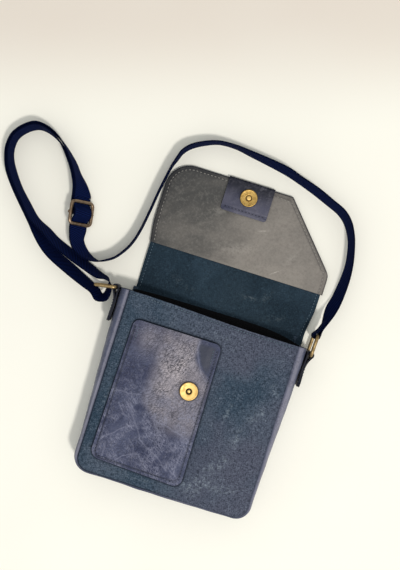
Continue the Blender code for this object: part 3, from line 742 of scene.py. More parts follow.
def gussetSpot(station, share):
    foot, out, swell = gussetStations[station]
    turn = math.pi * share
    middle = (gussetForm["high"] + gussetForm["low"]) / 2
    half = (gussetForm["high"] - gussetForm["low"]) / 2
    round_ = math.sin(turn) ** bagForm["fullness"] if 0 < share < 1 else 0.0
    away = gussetForm["gap"] + swell * round_
    away += gussetForm["crease"] * lumps(foot.y + foot.x, turn * 9, 16, 5.0) * round_
    spot = foot + out * away
    if foot.x > 0:
        spot.y -= (bagForm["slope"] - 0.3) * ease(40, bagForm["frontTop"], foot.y)
    dip = gussetForm["dip"] if foot.x > 0 else gussetForm["leftDip"]
    dip *= math.exp(-(away / gussetForm["dipReach"]) ** 2) if share < 0.5 else 0.0
    return Vector((spot.x, spot.y, middle + half * math.cos(turn) - dip))


def gussetShape(u, v):
    station = round(u * (len(gussetStations) - 1))
    spot = gussetSpot(station, v)
    return (*spot, station * 3.3, v * 46)


bm = patch(len(gussetStations) - 1, 30, gussetShape)
aimFaces(bm, 0)
gusset = settle("gussetBand", bm, gussetLeather, darkEdge)


def gussetCrownLightAndShade(x, y):  # how far out on the band: a painted highlight along its crown, painted shade at its outer turn, darker round the bottom
    away = abs(x) - bagForm["half"]
    if bagForm["bottom"] > y or away < 0:
        return -0.5
    crown, wide = (3.9, 2.6) if x > 0 else (1.8, 1.4)
    return bump(away - crown, wide) - 0.55 * ease(6.5, 9.8, away)


keepMark(gusset, "crownLightAndShade", gussetCrownLightAndShade)
thicken(gusset, 1.5, rim=1, edge=0.4)
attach(gusset, "bag")
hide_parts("gusset")

liningForm = {"wide": 90.5, "low": 3.0, "high": 31.6, "square": 5.0, "bottom": -90.0, "top": 83.0,
              "lean": 1.5, "narrow": 14.0, "closed": 0.16}


def liningShape(u, v):  # a sack: closed at the bottom, open at the mouth
    turn = 2 * math.pi * u
    power = 2 / liningForm["square"]
    cos, sin = math.cos(turn), math.sin(turn)
    across = math.copysign(abs(cos) ** power, cos)
    up = math.copysign(abs(sin) ** power, sin)
    full = ease(0.0, liningForm["closed"], v) ** 0.5 if v < liningForm["closed"] else 1.0
    middle = (liningForm["low"] + liningForm["high"]) / 2
    tall = (liningForm["high"] - liningForm["low"]) / 2
    sag = -1.0 * ease(30, 88, -93 + 180 * v) * max(0.0, up) * (1 - across ** 2)
    z = middle + tall * up * (0.12 + 0.88 * full) + sag
    top = liningForm["top"] + liningForm["lean"] * (1 - up) / 2
    y = mix(liningForm["bottom"], top, v)
    wide = liningForm["wide"] - liningForm["narrow"] * (1 - full)
    fold = 0.5 * lumps(u * 60, v * 40, 7, 2.0) * full
    return wide * across * (1.0 if v > 0 else 0.98), y, z - fold * up, u * 240, y


bm = patch(96, 60, liningShape)
close(bm)
lining = thicken(settle("liningSack", bm, liningCloth), 0.7, edge=0)
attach(lining, "bag")
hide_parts("lining_front", "lining_back", "lining_gusset")
print("bag body made")

pocketFolds = [  # pale creases: their places on the pocket, width and rise
    ([(-57, -16), (-53, -22), (-46, -30), (-41.6, -36.6), (-34, -47.6), (-26, -53), (-16, -59), (-7.6, -63),
      (-1, -69)],
     0.55, 0.35),
    ([(-7, 61), (-5.6, 51), (-2, 42), (4.8, 31.4), (11.5, 25)], 0.7, 0.4),
    ([(-29, -20), (-25.3, -29), (-19, -36), (-15, -44)], 0.6, 0.25),
    ([(9.2, -41), (6.7, -56), (6, -71)], 0.6, 0.25),
    ([(-65, -77), (-64.4, -68), (-66, -60)], 0.6, 0.2),
    ([(14, -37), (9, -34), (-2, -30.4), (-13.5, -28), (-26, -26)], 0.55, 0.2),
    ([(-73, -62), (-68, -55), (-60, -47), (-51, -40), (-41.6, -36.6)], 0.5, 0.2),
    ([(-53, -77), (-46, -69), (-38, -64), (-31, -62), (-24, -68), (-19, -75)], 0.5, 0.2),
    ([(-64, -19), (-60, -24), (-57, -28)], 0.7, 0.15), ([(-54, -17), (-51, -22), (-47, -24)], 0.7, 0.15),
    ([(-72, -10), (-64, -7), (-55, -8), (-46, -6)], 0.5, 0.15),
    ([(-44, -50), (-38, -56), (-36, -66)], 0.5, 0.15)]


def pocketEdge(x, y):  # how far inside the pocket's outline, the open top left out
    return insideEdge(x, y, pocketMiddle, pocketHalf, pocketForm["low"], pocketForm["corner"])


pocketSegments = []
for places, width, rise in pocketFolds:
    for first, last in zip(places, places[1:]):
        wayX, wayY = last[0] - first[0], last[1] - first[1]
        pocketSegments.append((first[0], first[1], wayX, wayY, wayX * wayX + wayY * wayY, width, rise))
foldMemory = {}


def foldAt(x, y):  # how much of a crease lies here, and how far it stands up
    key = (round(x, 3), round(y, 3))
    if key in foldMemory:
        return foldMemory[key]
    nearX = x + 2.0 * lumps(x, y, 11, 9.0)
    nearY = y + 2.0 * lumps(x, y, 11, 4.0)
    most, rise = 0.0, 0.0
    for startX, startY, wayX, wayY, square, width, high in pocketSegments:
        offX, offY = nearX - startX, nearY - startY
        t = min(1.0, max(0.0, (offX * wayX + offY * wayY) / square))
        far = ((offX - wayX * t) ** 2 + (offY - wayY * t) ** 2) / (width * width)
        if far < 4.0:
            near = math.exp(-far)
            if near > most:
                most, rise = near, high
    foldMemory[key] = (most, most * rise)
    return foldMemory[key]


def pocketHeight(x, y):
    inside = max(0.0, pocketEdge(x, y))
    puff = pocketForm["puff"] * ease(0.5, pocketForm["reach"], inside)
    seam = 0.35 * bump(inside - 3.2, 0.9)
    flat = ease(8.0, 16.0, snapDistance(x, y))
    wave = (0.28 * lumps(x, y, 20, 6.0) + 0.14 * lumps(x, y, 7, 8.0)) * ease(2, 10, inside) * flat
    mouth = pocketForm["lip"] * ease(50, 62, y)
    return pocketForm["edge"] + puff - seam + wave + mouth + foldAt(x, y)[1] * flat * ease(1, 6, inside)


def pocketRow(v):
    low, top, corner, small = (pocketForm[key] for key in ("low", "top", "corner", "topCorner"))
    first, last = pocketForm["lowShare"], pocketForm["topShare"]
    if v < first:
        turn = v / first * math.pi / 2
        return low + corner * (1 - math.cos(turn)), pocketHalf - corner * (1 - math.sin(turn))
    if v > last:
        turn = (v - last) / (1 - last) * math.pi / 2
        return top - small + small * math.sin(turn), pocketHalf - small * (1 - math.cos(turn))
    return low + corner + (top - small - low - corner) * (v - first) / (last - first), pocketHalf


def pocketShape(u, v):
    y, half = pocketRow(v)
    x = pocketMiddle + half * (2 * u - 1)
    return *pocketPlace(x, y), pocketHeight(x, y), x, y


# where the painted reflection of the lamps lies, with a weaker painted light at the upper left
def pocketPaintedSheen(x, y):
    west = -45 + 17 * ease(-8, -30, y)
    east = -5 + 21 * ease(46, 22, y)
    band = ease(west - 5, west + 12, x) * ease(east + 2, east - 6, x) * ease(-42, -20, y)
    core = 0.5 * math.exp(-((x + 22) / 15) ** 2 - ((y - 24) / 22) ** 2)
    core += 0.3 * math.exp(-((x + 12) / 9) ** 2 - ((y - 46) / 15) ** 2)
    corner = 0.4 * math.exp(-((x + 54) / 12) ** 2 - ((y - 50) / 14) ** 2)
    return min(1.0, max(0.0, band * (0.42 + core + 0.22 * lumps(x, y, 11, 1.0)) + corner))


def pocketSmooth(x, y):
    west = -6.5 + 4 * ease(56, 44, y) + 10 * ease(46, 28, y)
    return ease(west - 0.5, west + 2.5, x) * ease(13.5, 8.5, x) * ease(22, 42, y) * ease(62, 57, y)


def pocketPaintedShade(x, y):  # painted shade in the sewn groove and a painted shadow round the snap
    inside = pocketEdge(x, y)
    groove = 0.55 * bump(inside - 3.0, 0.8) * ease(60, 56, y)
    snap = 0.85 * bump(snapDistance(x, y) - 9.2, 1.0)
    return max(groove, snap)


pocket = settle("frontPocket", patch(150, 230, pocketShape), pocketLeather, pocketRim)
keepMark(pocket, "crease", lambda x, y: foldAt(x, y)[0])
keepMark(pocket, "paintedSheen", pocketPaintedSheen)
keepMark(pocket, "smooth", pocketSmooth)
keepMark(pocket, "paintedShade", pocketPaintedShade)
thicken(pocket, 1.5, rim=1, edge=0.35)


def pocketLine(inset, start, end):  # sewn down the left, along the bottom and up the right
    left, right, low = pocketForm["left"] + inset, pocketForm["right"] - inset, pocketForm["low"] + inset
    corner = pocketForm["corner"] - inset
    line = [(left, start)]
    for step in range(9):
        turn = math.pi / 2 * step / 8
        line.append((left + corner * (1 - math.cos(turn)), low + corner * (1 - math.sin(turn))))
    for step in range(9):
        turn = math.pi / 2 * step / 8
        line.append((right - corner * (1 - math.sin(turn)), low + corner * (1 - math.cos(turn))))
    return line + [(right, end)]


pocketSeam = [pocketPlace(x, y) for x, y in pocketLine(3.2, 57, 57)]
sewLine(pocket, navyThread, pocketSeam, pocketHeight, 3.2, (2.3, 0.75, 0.3))
for lineX in (-69.0, 10.0):  # short second rows that hold the pocket's mouth
    mouthSeam = [pocketPlace(lineX, 57), pocketPlace(lineX, 42)]
    sewLine(pocket, tealThread, mouthSeam, pocketHeight, 2.8, (1.7, 0.8, 0.3))
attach(pocket, "bag")
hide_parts("front_pocket")
print("pocket made")

discProfile = [(8.7, 0.0), (9.0, 0.25), (9.0, 1.35), (8.85, 1.75), (8.5, 2.0), (8.1, 2.02), (7.7, 1.9),
               (7.3, 1.84), (4.2, 1.82), (3.8, 1.8), (3.4, 1.74), (3.1, 1.55), (3.0, 1.1), (2.95, 0.3)]
# the groove faces take that brass: painted shade in the ring-shaped recess
groove = {"from": 1.6, "to": 3.2, "finish": grooveShadeBrass}
pocketDisc = lathe("pocketSnapDisc",
                   discProfile + [(1.75, 0.25), (1.7, 0.9), (1.5, 1.15), (0.9, 1.3), (0.0, 1.34)],
                   (snapForm["x"], snapForm["pocketY"], snapForm["pocketZ"]), brass, groove=groove)
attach(pocketDisc, "bag")
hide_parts("pocket_snap_cap")
flapSnap = (snapForm["x"], snapForm["flapY"], snapForm["flapZ"])
flapDisc = lathe("flapSnapDisc", discProfile, flapSnap, speckledBrass, groove=groove)
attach(flapDisc, "flap_front")
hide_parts("flap_snap_cap")
studProfile = [(2.4, -2.5), (2.4, 1.7), (2.55, 2.2), (2.45, 2.75), (2.0, 3.05), (1.0, 3.12), (0.0, 3.12)]
flapStud = lathe("flapSnapStud", studProfile, flapSnap, brass)
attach(flapStud, "flap_front")
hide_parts("flap_snap_stud")
steel = Finish("plain steel", 0.4, 1.0)
steelStain = steel.cloud(steel.place(), 260, 3, 0.6)
steel.set({"Base Color": steel.tint(steel.step(steelStain, 0.35, 0.7), ink(150, 150, 152),
                                    ink(112, 112, 116))})
for name in ("pocket_snap_magnet", "pocket_snap_washer", "flap_snap_washer"):
    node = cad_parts[name]
    node.data.materials.clear()
    node.data.materials.append(steel.material)
print("snaps made")

flapForm = {"left": -88.5, "right": 100.0, "soft": 3.0, "start": 141.4, "end": 228.67, "corner": 26.0,
            "cutWide": 59.0, "cutTall": 66.0, "rows": 0.7, "seam": 4.2, "inset": 3.0, "taper": 24.0,
            "top": 3.9, "wave": 0.5}
stripForm = {"left": -85.3, "right": 97.4, "rootRight": 94.2, "tuck": 2.5, "split": 116.0, "end": 142.6,
             "rootTop": 2.3, "top": 3.6, "wave": 0.35}


def stripHeight(x, y):
    rise = (mix(stripForm["rootTop"], stripForm["top"], ease(92, 136, y))
            + 1.0 - ease(88, 94, y))
    near = min(x - stripForm["left"], stripForm["right"] - x)
    return rise + stripForm["wave"] * lumps(x, y, 26, 12.0) * ease(96, 110, y) - 0.5 * (1 - ease(0, 6, near))


facingForm = {"low": 76.0, "places": [-86, -64, -42, -21, 1, 32, 54, 66, 76, 84, 88, 91, 98],
              "edge": [90.1, 91.4, 91.8, 92.1, 92.4, 92.5, 91.9, 90.8, 89.2, 87.4, 86.3, 85.5, 84.2]}


def facingEdge(x):
    places, edge = facingForm["places"], facingForm["edge"]
    index = max(0, sum(1 for place in places[1:-1] if place < x))
    t = (x - places[index]) / (places[index + 1] - places[index])
    quad = (edge[max(0, index - 1)], edge[index], edge[index + 1], edge[min(len(edge) - 1, index + 2)])
    return between(quad, min(1.0, max(0.0, t)))


def stripPatch(name, low, high, rows):
    def shape(u, v):
        x = mix(stripForm["left"], stripForm["right"], u)
        start = low(x)
        y = mix(start, high, v)
        x -= (stripForm["right"] - stripForm["rootRight"]) * ease(128, 96, y) * u
        return x, y, stripHeight(x, y), x, y
    return thicken(settle(name, patch(90, rows, shape), stripCanvas), 1.7, edge=0)


stripLower = stripPatch("flapStripLower", lambda x: facingEdge(x) - stripForm["tuck"], stripForm["split"], 32)
stripUpper = stripPatch("flapStripUpper", lambda x: stripForm["split"], stripForm["end"], 28)
for piece, low, high in ((stripLower, 94, 115.8), (stripUpper, 116.4, 140.5)):
    for x in (stripForm["left"] + 3.6, stripForm["right"] - 3.6):
        inset = stripForm["right"] - stripForm["rootRight"] if x > 0 else 0.0
        heights = [low + (high - low) * step / 8 for step in range(9)]
        edge = [(x - inset * ease(128, 96, y), y) for y in heights]
        sewLine(piece, tealThread, edge, stripHeight, 3.1, (1.9, 0.75, 0.3))
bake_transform(stripLower)
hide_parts("flap_strip")
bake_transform(stripUpper)
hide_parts("flap_strip", "flap_canvas_edge")

def facingShape(u, v):
    x = facingForm["places"][0] + 182 * u
    y = mix(facingForm["low"], facingEdge(x), v)
    z = 4.4 + 0.2 * lumps(x, y, 18, 3.0)
    z = z + (max(stripHeight(x, y), 2.4) + 0.75 - z) * ease(84, 92, y)
    return x, y, z, x, y


facing = thicken(settle("liningFacing", patch(80, 20, facingShape), liningCloth), 0.5, edge=0)
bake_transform(facing)


def flapSides(y):  # left and right edge of the flap's leather at a height
    left, right = flapForm["left"], flapForm["right"]
    root = flapForm["inset"] * (1 - min(1.0, (y - flapForm["start"]) / flapForm["taper"])) ** 1.5
    left += root
    over = y - (flapForm["end"] - flapForm["corner"])
    if over > 0:
        left += flapForm["corner"] - math.sqrt(max(0.0, flapForm["corner"] ** 2 - over ** 2))
    slope = flapForm["cutWide"] / flapForm["cutTall"]
    past = y - (flapForm["end"] - flapForm["cutTall"])
    soft = flapForm["soft"]
    cut = slope * (past + math.sqrt(past * past + soft * soft)) / 2
    return left, right - root * 0.2 - min(cut, flapForm["cutWide"] + 1.0)


def flapEdge(x, y):  # rough distance inside the flap's free edges
    left, right = flapSides(y)
    top = flapForm["end"] - y
    corner = flapForm["corner"]
    out = flapForm["left"] + corner - x
    up = y - flapForm["end"] + corner
    if out > 0 and up > 0:
        west = corner - math.hypot(out, up)
    else:
        west = x - left
    return min(west, (right - x) * 0.75 if y > 165 else right - x, top)


def flapHeight(x, y):
    root = 1.1 * (1 - ease(flapForm["start"], flapForm["start"] + 9, y))
    wave = flapForm["wave"] * lumps(x, y, 30, 20.0) + 0.15 * lumps(x, y, 9, 21.0)
    flat = ease(10, 22, math.hypot((x + 3) * 0.7, y - 212))
    droop = 0.5 * (1 - ease(0, 7, flapEdge(x, y)))
    return flapForm["top"] + root + wave * flat * ease(142, 152, y) - droop


def flapRow(v):
    low, high, corner = flapForm["start"], flapForm["end"], flapForm["corner"]
    rows = flapForm["rows"]  # share of the rows below the round corner
    if v > rows:
        return high - corner + corner * math.sin((v - rows) / (1 - rows) * math.pi / 2)
    return low + (high - corner - low) * v / rows


def flapShape(u, v):
    y = flapRow(v)
    left, right = flapSides(y)
    x = mix(left, right, u)
    return x, y, flapHeight(x, y), x, y


def flapBorder(x, y):  # edge paint, and the darker band out to the stitches
    near = flapEdge(x, y)
    west = 0.35 + 0.65 * ease(-20, -60, x)
    band = (1 - ease(3.2, 6.5 + 1.5 * lumps(x, y, 9, 2.0), near)) * 0.5 * west
    sewn = 0.45 * bump(near - 4.2, 0.9)
    return max(0.9 * (1 - ease(0.7, 1.7, near)), band, sewn)


flapLeather = settle("flapLeather", patch(120, 80, flapShape), fleshSide, flapOutside, darkEdge)
keepMark(flapLeather, "border", flapBorder)
thicken(flapLeather, 1.7, inner=1, rim=2, edge=0.35)
leftSeam = [(flapSides(y)[0] + flapForm["seam"], y) for y in (143, 160, 180)]
for step in range(13):
    turn = math.pi / 2 * step / 12
    reach = flapForm["corner"] - flapForm["seam"]
    leftSeam.append((flapForm["left"] + flapForm["corner"] - reach * math.cos(turn),
                     flapForm["end"] - flapForm["corner"] + reach * math.sin(turn)))
leftSeam.append((-29, flapForm["end"] - flapForm["seam"]))
sewLine(flapLeather, paleThread, leftSeam, flapHeight, 3.9, (2.6, 0.8, 0.35))
rightSeam = [(flapSides(y)[1] - 4.6, y) for y in (143, 152, 158, 164, 170, 180, 195, 210, 222)]
rightSeam.append((24, flapForm["end"] - 4.4))
sewLine(flapLeather, paleThread, rightSeam, flapHeight, 3.9, (2.6, 0.7, 0.3))
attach(flapLeather, "flap_front")
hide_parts("flap_leather")

tabForm = {"left": -27.5, "right": 21.5, "near": 194.67, "far": 230.3, "face": 6.7, "corner": 3.0,
           "bend": 2.6, "under": 0.25, "underShare": 0.3, "bendShare": 0.15, "seam": 4.2}


def tabHeight(x, y):  # the leg on the inside of the flap, sewn down near its end
    down = 1.1 * (1 - ease(0.0, 7.0, y - tabForm["near"]))
    seam = 0.8 * bump(y - tabForm["near"] - tabForm["seam"], 0.9)
    side = 0.7 * (1 - ease(0, 5, min(x - tabForm["left"], tabForm["right"] - x)))
    return tabForm["face"] - down - seam - side + 0.1 * lumps(x, y, 8, 30.0)


def tabShape(u, v):
    near, bend, under, corner = (tabForm[key] for key in ("near", "bend", "under", "corner"))
    turnAt = tabForm["far"] - bend
    first, turning = tabForm["underShare"], tabForm["bendShare"]
    x = mix(tabForm["left"], tabForm["right"], u)
    if v < first:
        return x, near + (turnAt - near) * v / first, under, x, -v * 60
    if v < first + turning:
        turn = math.pi * (v - first) / turning
        rise = (tabHeight(x, turnAt) - under) * (1 - math.cos(turn)) / 2
        return x, turnAt + bend * math.sin(turn), under + rise, x, -v * 60
    y = turnAt + (near - turnAt) * (v - first - turning) / (1 - first - turning)
    trim = corner * (1 - math.sqrt(max(0.0, 1 - (1 - min(1, (y - near) / corner)) ** 2)))
    middle = (tabForm["left"] + tabForm["right"]) / 2
    half = (tabForm["right"] - tabForm["left"]) / 2
    x = middle + (x - middle) * (half - trim) / half
    return x, y, tabHeight(x, y), x, -v * 60


bm = patch(50, 80, tabShape)
aimFaces(bm, 2)
flapTab = thicken(settle("flapTab", bm, tabLeather, paleEdge), 1.4, rim=1, edge=0.35)
tabSeam = [(x, tabForm["near"] + tabForm["seam"]) for x in (tabForm["left"] + 3, tabForm["right"] - 3)]
sewLine(flapTab, darkThread, tabSeam, tabHeight, 3.6, (2.7, 1.1, 0.3))
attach(flapTab, "flap_front")
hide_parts("flap_tab")
print("flap made")

ringForm = {"x": 102.6, "leftY": 86.5, "rightY": 80.1, "z": 17.5, "wire": 3.6, "reach": 20.0,
            "inside": 22.4, "corner": 2.9, "leftAngle": 189.0, "rightAngle": 88.0}


def roundedBox(start, end, half, radius, steps):  # an even loop of points round a box
    corners = [Vector(place) for place in ((start, -half), (end, -half), (end, half), (start, half))]
    pull, spacing = 0.86, 1.6  # how square a corner is, and the step along the sides
    loop = []
    for index, here in enumerate(corners):
        a = here + (corners[index - 1] - here).normalized() * radius
        b = here + (corners[(index + 1) % len(corners)] - here).normalized() * radius
        for step in range(steps + 1):
            t = step / steps
            middle = here * pull + (a + b) / 2 * (1 - pull)
            loop.append(a * (1 - t) ** 2 + middle * 2 * t * (1 - t) + b * t * t)
    full = []
    for first, last in zip(loop, loop[1:] + loop[:1]):
        parts = max(1, round((last - first).length / spacing))
        full += [first + (last - first) * part / parts for part in range(parts)]
    return full


def makeRing(name, side, ringY, angle, node):
    half = (ringForm["inside"] + ringForm["wire"]) / 2
    outline = roundedBox(0, ringForm["reach"], half, ringForm["corner"], 6)
    way = Vector((math.cos(math.radians(angle)), math.sin(math.radians(angle)), 0.0))
    centre = Vector((side * ringForm["x"], ringY, ringForm["z"]))
    across = Vector((-way.y, way.x, 0.0))
    path = [(centre + way * p.x + Vector((0.0, 0.0, p.y)), across) for p in outline]
    made = tube(name, path, wornBrass, (ringForm["wire"] / 2, ringForm["wire"] / 2), 16)
    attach(made, node)
    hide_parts(node)


makeRing("leftRing", -1, ringForm["leftY"], ringForm["leftAngle"], "left_ring")
makeRing("rightRing", 1, ringForm["rightY"], ringForm["rightAngle"], "right_ring")

loopForm = {"radius": 3.0, "leg": 34.0, "wrapPast": 50.0, "width": 20.0, "thick": 1.5, "hug": 0.8,
            "tip": 9.0, "tipOut": 0.9}


def makeLoop(name, side, ringY, node):  # a leather end round the ring's bar, its legs sewn together
    radius, ringX, thick = loopForm["radius"], ringForm["x"], loopForm["thick"]
    inner = ringX - radius
    outer = inner + thick - 0.05
    last = ringY - loopForm["leg"]
    path = [(inner + loopForm["tipOut"], last), (inner + 0.3, ringY - 24), (inner, ringY - 16),
            (inner, ringY - 8)]
    for step in range(17):
        turn = math.pi - (math.pi + math.radians(loopForm["wrapPast"])) * step / 16
        path.append((ringX + radius * math.cos(turn), ringY + radius * math.sin(turn)))
    path += [(outer + 1.3, ringY - radius * 2.2), (outer + 0.3, ringY - 11), (outer, ringY - 16),
             (outer + 0.3, ringY - 24), (outer + loopForm["tipOut"], last)]
    smooth = smoothPath([(Vector((x, y)),) for x, y in path], 1.0)

    def shape(u, v):
        spot = pick(smooth, v)[0]
        down = ringY - spot.y
        across = 2 * u - 1
        tip = loopForm["tip"]
        near = min(1.0, max(0.0, (spot.y - last) / tip))
        half = loopForm["width"] / 2 * (0.3 + 0.7 * math.sqrt(max(0.0, 1 - (1 - near) ** 2)))
        hug = loopForm["hug"] * ease(4, 18, down) * across ** 2
        z = ringForm["z"] + half * across
        return side * (spot.x - hug), spot.y, z, z, v * 90

    bm = patch(12, len(smooth) - 1, shape)
    made = thicken(settle(name, bm, loopLeather, loopEdge), thick, 0.0, rim=1, edge=0.3)
    spots = []
    for row in (-1, 1):  # two short rows of stitches down the outer leg
        for step in range(6):
            y = ringY - 12.5 - step * 3.0
            z = ringForm["z"] + row * 6.5
            x = outer + thick / 2 + 0.25 - loopForm["hug"] * ease(4, 18, ringY - y) * 0.42
            spots.append((Vector((side * x, y, z)), Vector((0.0, -1.0, 0.0)), Vector((side, 0.0, row * 0.3))))
    sew(made, tealThread, spots, 2.0, 0.8, 0.35)
    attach(made, "bag")
    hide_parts(node)


makeLoop("leftRingLoop", -1, ringForm["leftY"], "left_ring_tab")
makeLoop("rightRingLoop", 1, ringForm["rightY"], "right_ring_tab")

sliderForm = {"place": (-160.0, 147.0, 12.2), "heading": 99.5, "lean": 50.0, "wire": 3.2, "length": 26.0,
              "inside": 21.4, "corner": 4.0, "bar": 1.0}


def sliderAxes():  # along the webbing, across it and out of its upper face
    heading, lean = math.radians(sliderForm["heading"]), math.radians(sliderForm["lean"])
    along = Vector((math.cos(heading), math.sin(heading), 0.0))
    left = Vector((-along.y, along.x, 0.0))
    side = left * math.sin(lean) + Vector((0.0, 0.0, math.cos(lean)))
    return along, side, along.cross(side)


along, across, out = sliderAxes()
sliderCentre = Vector(sliderForm["place"])
halfAcross = (sliderForm["inside"] + sliderForm["wire"]) / 2
halfAlong = (sliderForm["length"] - sliderForm["wire"]) / 2
outline = roundedBox(-halfAlong, halfAlong, halfAcross, sliderForm["corner"], 8)
framePath = [(sliderCentre + along * p.x + across * p.y, out) for p in outline]
sliderFrame = tube("sliderFrame", framePath, bronze, (1.6, 1.8), 14)
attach(sliderFrame, "slider")
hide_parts("slider_frame")
tip = halfAcross + sliderForm["wire"] / 2 + 0.3
barProfile = [(0.0, tip + 1.0), (0.9, tip + 0.95), (1.4, tip + 0.7), (1.6, tip + 0.35), (1.55, tip),
              (1.0, tip), (1.0, -tip + 0.2), (0.8, -tip), (0.0, -tip)]
sliderBar = lathe("sliderBar", barProfile, (0, 0, 0), bronze, 20)
turn = Matrix((along, -out, across)).transposed().to_4x4()
sliderBar.data.transform(Matrix.Translation(sliderCentre * mm) @ turn)
if turn.determinant() < 0:
    sliderBar.data.flip_normals()
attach(sliderBar, "slider")
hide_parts("slider_bar")
print("rings and slider made")

strapForm = {"width": 20.0, "thick": 1.2, "layerGap": 3.9, "loopGap": 2.4, "sewnTail": 18.0,
             "sewnTurn": 17.0, "sewnClosing": 2.4, "spacing": 2.0, "clear": 0.4}
singleRoute = [
    (110.9, 128.8, 13, -25), (114, 143.9, 11, -23), (115.7, 163.4, 10.3, -17), (115.1, 180.1, 10.5, -11),
    (111.7, 197.3, 10.6, -8), (107.5, 208.8, 10.6, -9), (100.9, 219.7, 10.5, -11), (91.5, 227.7, 10.4, -13),
    (77.5, 233.6, 10.4, -13), (60.9, 240.2, 10.4, -14), (42.5, 246, 10.5, -12), (27, 250.7, 10.4, -14),
    (7.9, 253.9, 10.5, -11), (-12.9, 256.6, 10.6, -6), (-30.2, 258.6, 10.7, -1), (-47.4, 257.8, 10.7, 0),
    (-61.7, 252.7, 10.7, -2), (-73.7, 245.7, 10.7, -3), (-80.7, 237.9, 10.7, -3), (-83.8, 229.6, 10.7, -2),
    (-87.4, 217.8, 10.7, 1), (-91.6, 192.8, 10.7, 1), (-94.4, 170.3, 10.7, 1), (-97.9, 147.9, 10.7, 1),
    (-103.2, 130.8, 10.7, 1), (-112.8, 116.2, 10.7, 1), (-121.4, 109.6, 10.7, 0), (-131.1, 105.5, 10.7, 4),
    (-144.1, 108.2, 9.9, 22), (-155, 117, 9.2, 38)]
loopRoute = [
    (-170, 173.5, 11.4, 28), (-177, 183.5, 10.8, 13), (-185.1, 194.5, 10.6, 8), (-198.7, 208.3, 10.7, -1),
    (-211, 215.9, 10.7, -4), (-221.5, 219, 10.7, -5), (-231, 218.4, 10.7, -6), (-240.9, 211.7, 10.7, -4),
    (-247.9, 202, 10.7, -3), (-249.5, 190.3, 10.7, -4), (-247.2, 179.2, 10.6, -6), (-241.1, 166.9, 10.5, -11),
    (-230.3, 152.5, 10.5, -11), (-217.2, 138.6, 10.4, -14), (-204.9, 126.3, 10.2, -18)]
outerRoute = [
    (-190.4, 110, 9.8, -27), (-176.2, 99.5, 9.8, -30), (-153.5, 89.4, 10.8, -31), (-135.7, 82, 13, -26),
    (-123.8, 77.3, 15.6, -22), (-117, 72, 17.3, -24), (-111, 74, 17.5, -26), (-109.5, 80, 17.5, -22),
    (-109.7, 84, 17.5, -18)]
innerRoute = [
    (-109.8, 84.4, 17.5, -18), (-111, 88.5, 17.5, -10), (-115, 92, 17, 5), (-125.4, 93.2, 15, 19),
    (-147.7, 100.9, 12, 26),
    (-163.3, 106.4, 10.6, 25), (-178, 112.6, 10.1, 23), (-189.1, 119.4, 10.1, 20)]


def planWay(points, index):  # the way a route runs at one of its points, seen from above
    ahead, behind = points[min(index + 1, len(points) - 1)], points[max(index - 1, 0)]
    return Vector((ahead[0] - behind[0], ahead[1] - behind[1])).normalized()


def guides(points):  # a route's places and the way the webbing's width points there
    made = []
    for index, (x, y, z, lean) in enumerate(points):
        way = planWay(points, index)
        left = Vector((-way.y, way.x, 0.0))
        tip = math.radians(lean)
        made.append((Vector((x, y, z)), left * math.sin(tip) + Vector((0.0, 0.0, math.cos(tip)))))
    return made


def shifted(points, offset):  # moved sideways in plan, positive to the left
    moved = []
    for index, (x, y, z, lean) in enumerate(points):
        way = planWay(points, index)
        moved.append((x - way.y * offset, y + way.x * offset, z, lean))
    return moved


def sewnLoop(centre, heading, clear):  # an end that runs round an upright bar and back beside itself
    ahead = Vector((math.cos(heading), math.sin(heading), 0.0))
    left = Vector((-ahead.y, ahead.x, 0.0))
    side = (strapForm["thick"] + 0.3) / 2
    tail, closing = strapForm["sewnTail"], strapForm["sewnClosing"]
    local = [(tail, side), (tail * 0.6, side), (clear * closing, side * 1.3), (clear * 0.9, clear * 0.8)]
    for degrees in range(60, 301, 30):
        local.append((clear * math.cos(math.radians(degrees)), clear * math.sin(math.radians(degrees))))
    local += [(clear * 0.9, -clear * 0.8), (clear * closing, -side * 1.3), (tail * 0.6, -side)]
    return [(centre + ahead * u + left * v, Vector((0.0, 0.0, 1.0))) for u, v in local]


def sliderPass(steps):  # webbing in the slider: along it and above its face
    return [(sliderCentre + along * u + out * n, across) for u, n in steps]


clear = ringForm["wire"] / 2 + strapForm["clear"] + strapForm["thick"] / 2
heading = math.radians(ringForm["rightAngle"])
ringBar = Vector((ringForm["x"] + ringForm["reach"] * math.cos(heading),
                  ringForm["rightY"] + ringForm["reach"] * math.sin(heading), ringForm["z"]))
end = sliderForm["length"] / 2
under = sliderForm["wire"] / 2 + strapForm["clear"] + strapForm["thick"] / 2
wrap = sliderForm["bar"] + strapForm["clear"] + strapForm["thick"] / 2
over = wrap + strapForm["thick"] + strapForm["clear"]
low = -under - strapForm["layerGap"]
into = sliderPass([
    (-end - 4, -under), (-end + 1.6, -under), (-end * 0.65, -under * 0.8), (-over * 1.25, over * 0.45),
    (-over * 0.55, over), (over * 0.55, over), (over * 1.25, over * 0.45), (end * 0.65, -under * 0.8),
    (end - 1.6, -under), (end + 3, -under)])
tail = sliderPass([
    (end + 5.5, low), (end - 1.6, low), (wrap * 2.4, low * 0.7), (wrap * 0.7, -wrap),
    (-wrap * 0.5, -wrap * 0.87),
    (-wrap, 0.0), (-wrap * 0.5, wrap * 0.87), (wrap * 0.7, wrap)])
halfGap = strapForm["loopGap"] / 2
sewnEnd = sewnLoop(ringBar, heading - math.radians(strapForm["sewnTurn"]), clear)
singlePath = smoothPath(sewnEnd + guides(singleRoute) + into, strapForm["spacing"])
outerPath = smoothPath(sliderPass([(end + 3.3, -under), (end + 5.5, -under)])
                       + guides(shifted(loopRoute, -halfGap) + outerRoute), strapForm["spacing"])
innerPath = smoothPath(guides(innerRoute) + guides(shifted(loopRoute, halfGap))[::-1] + tail,
                       strapForm["spacing"])


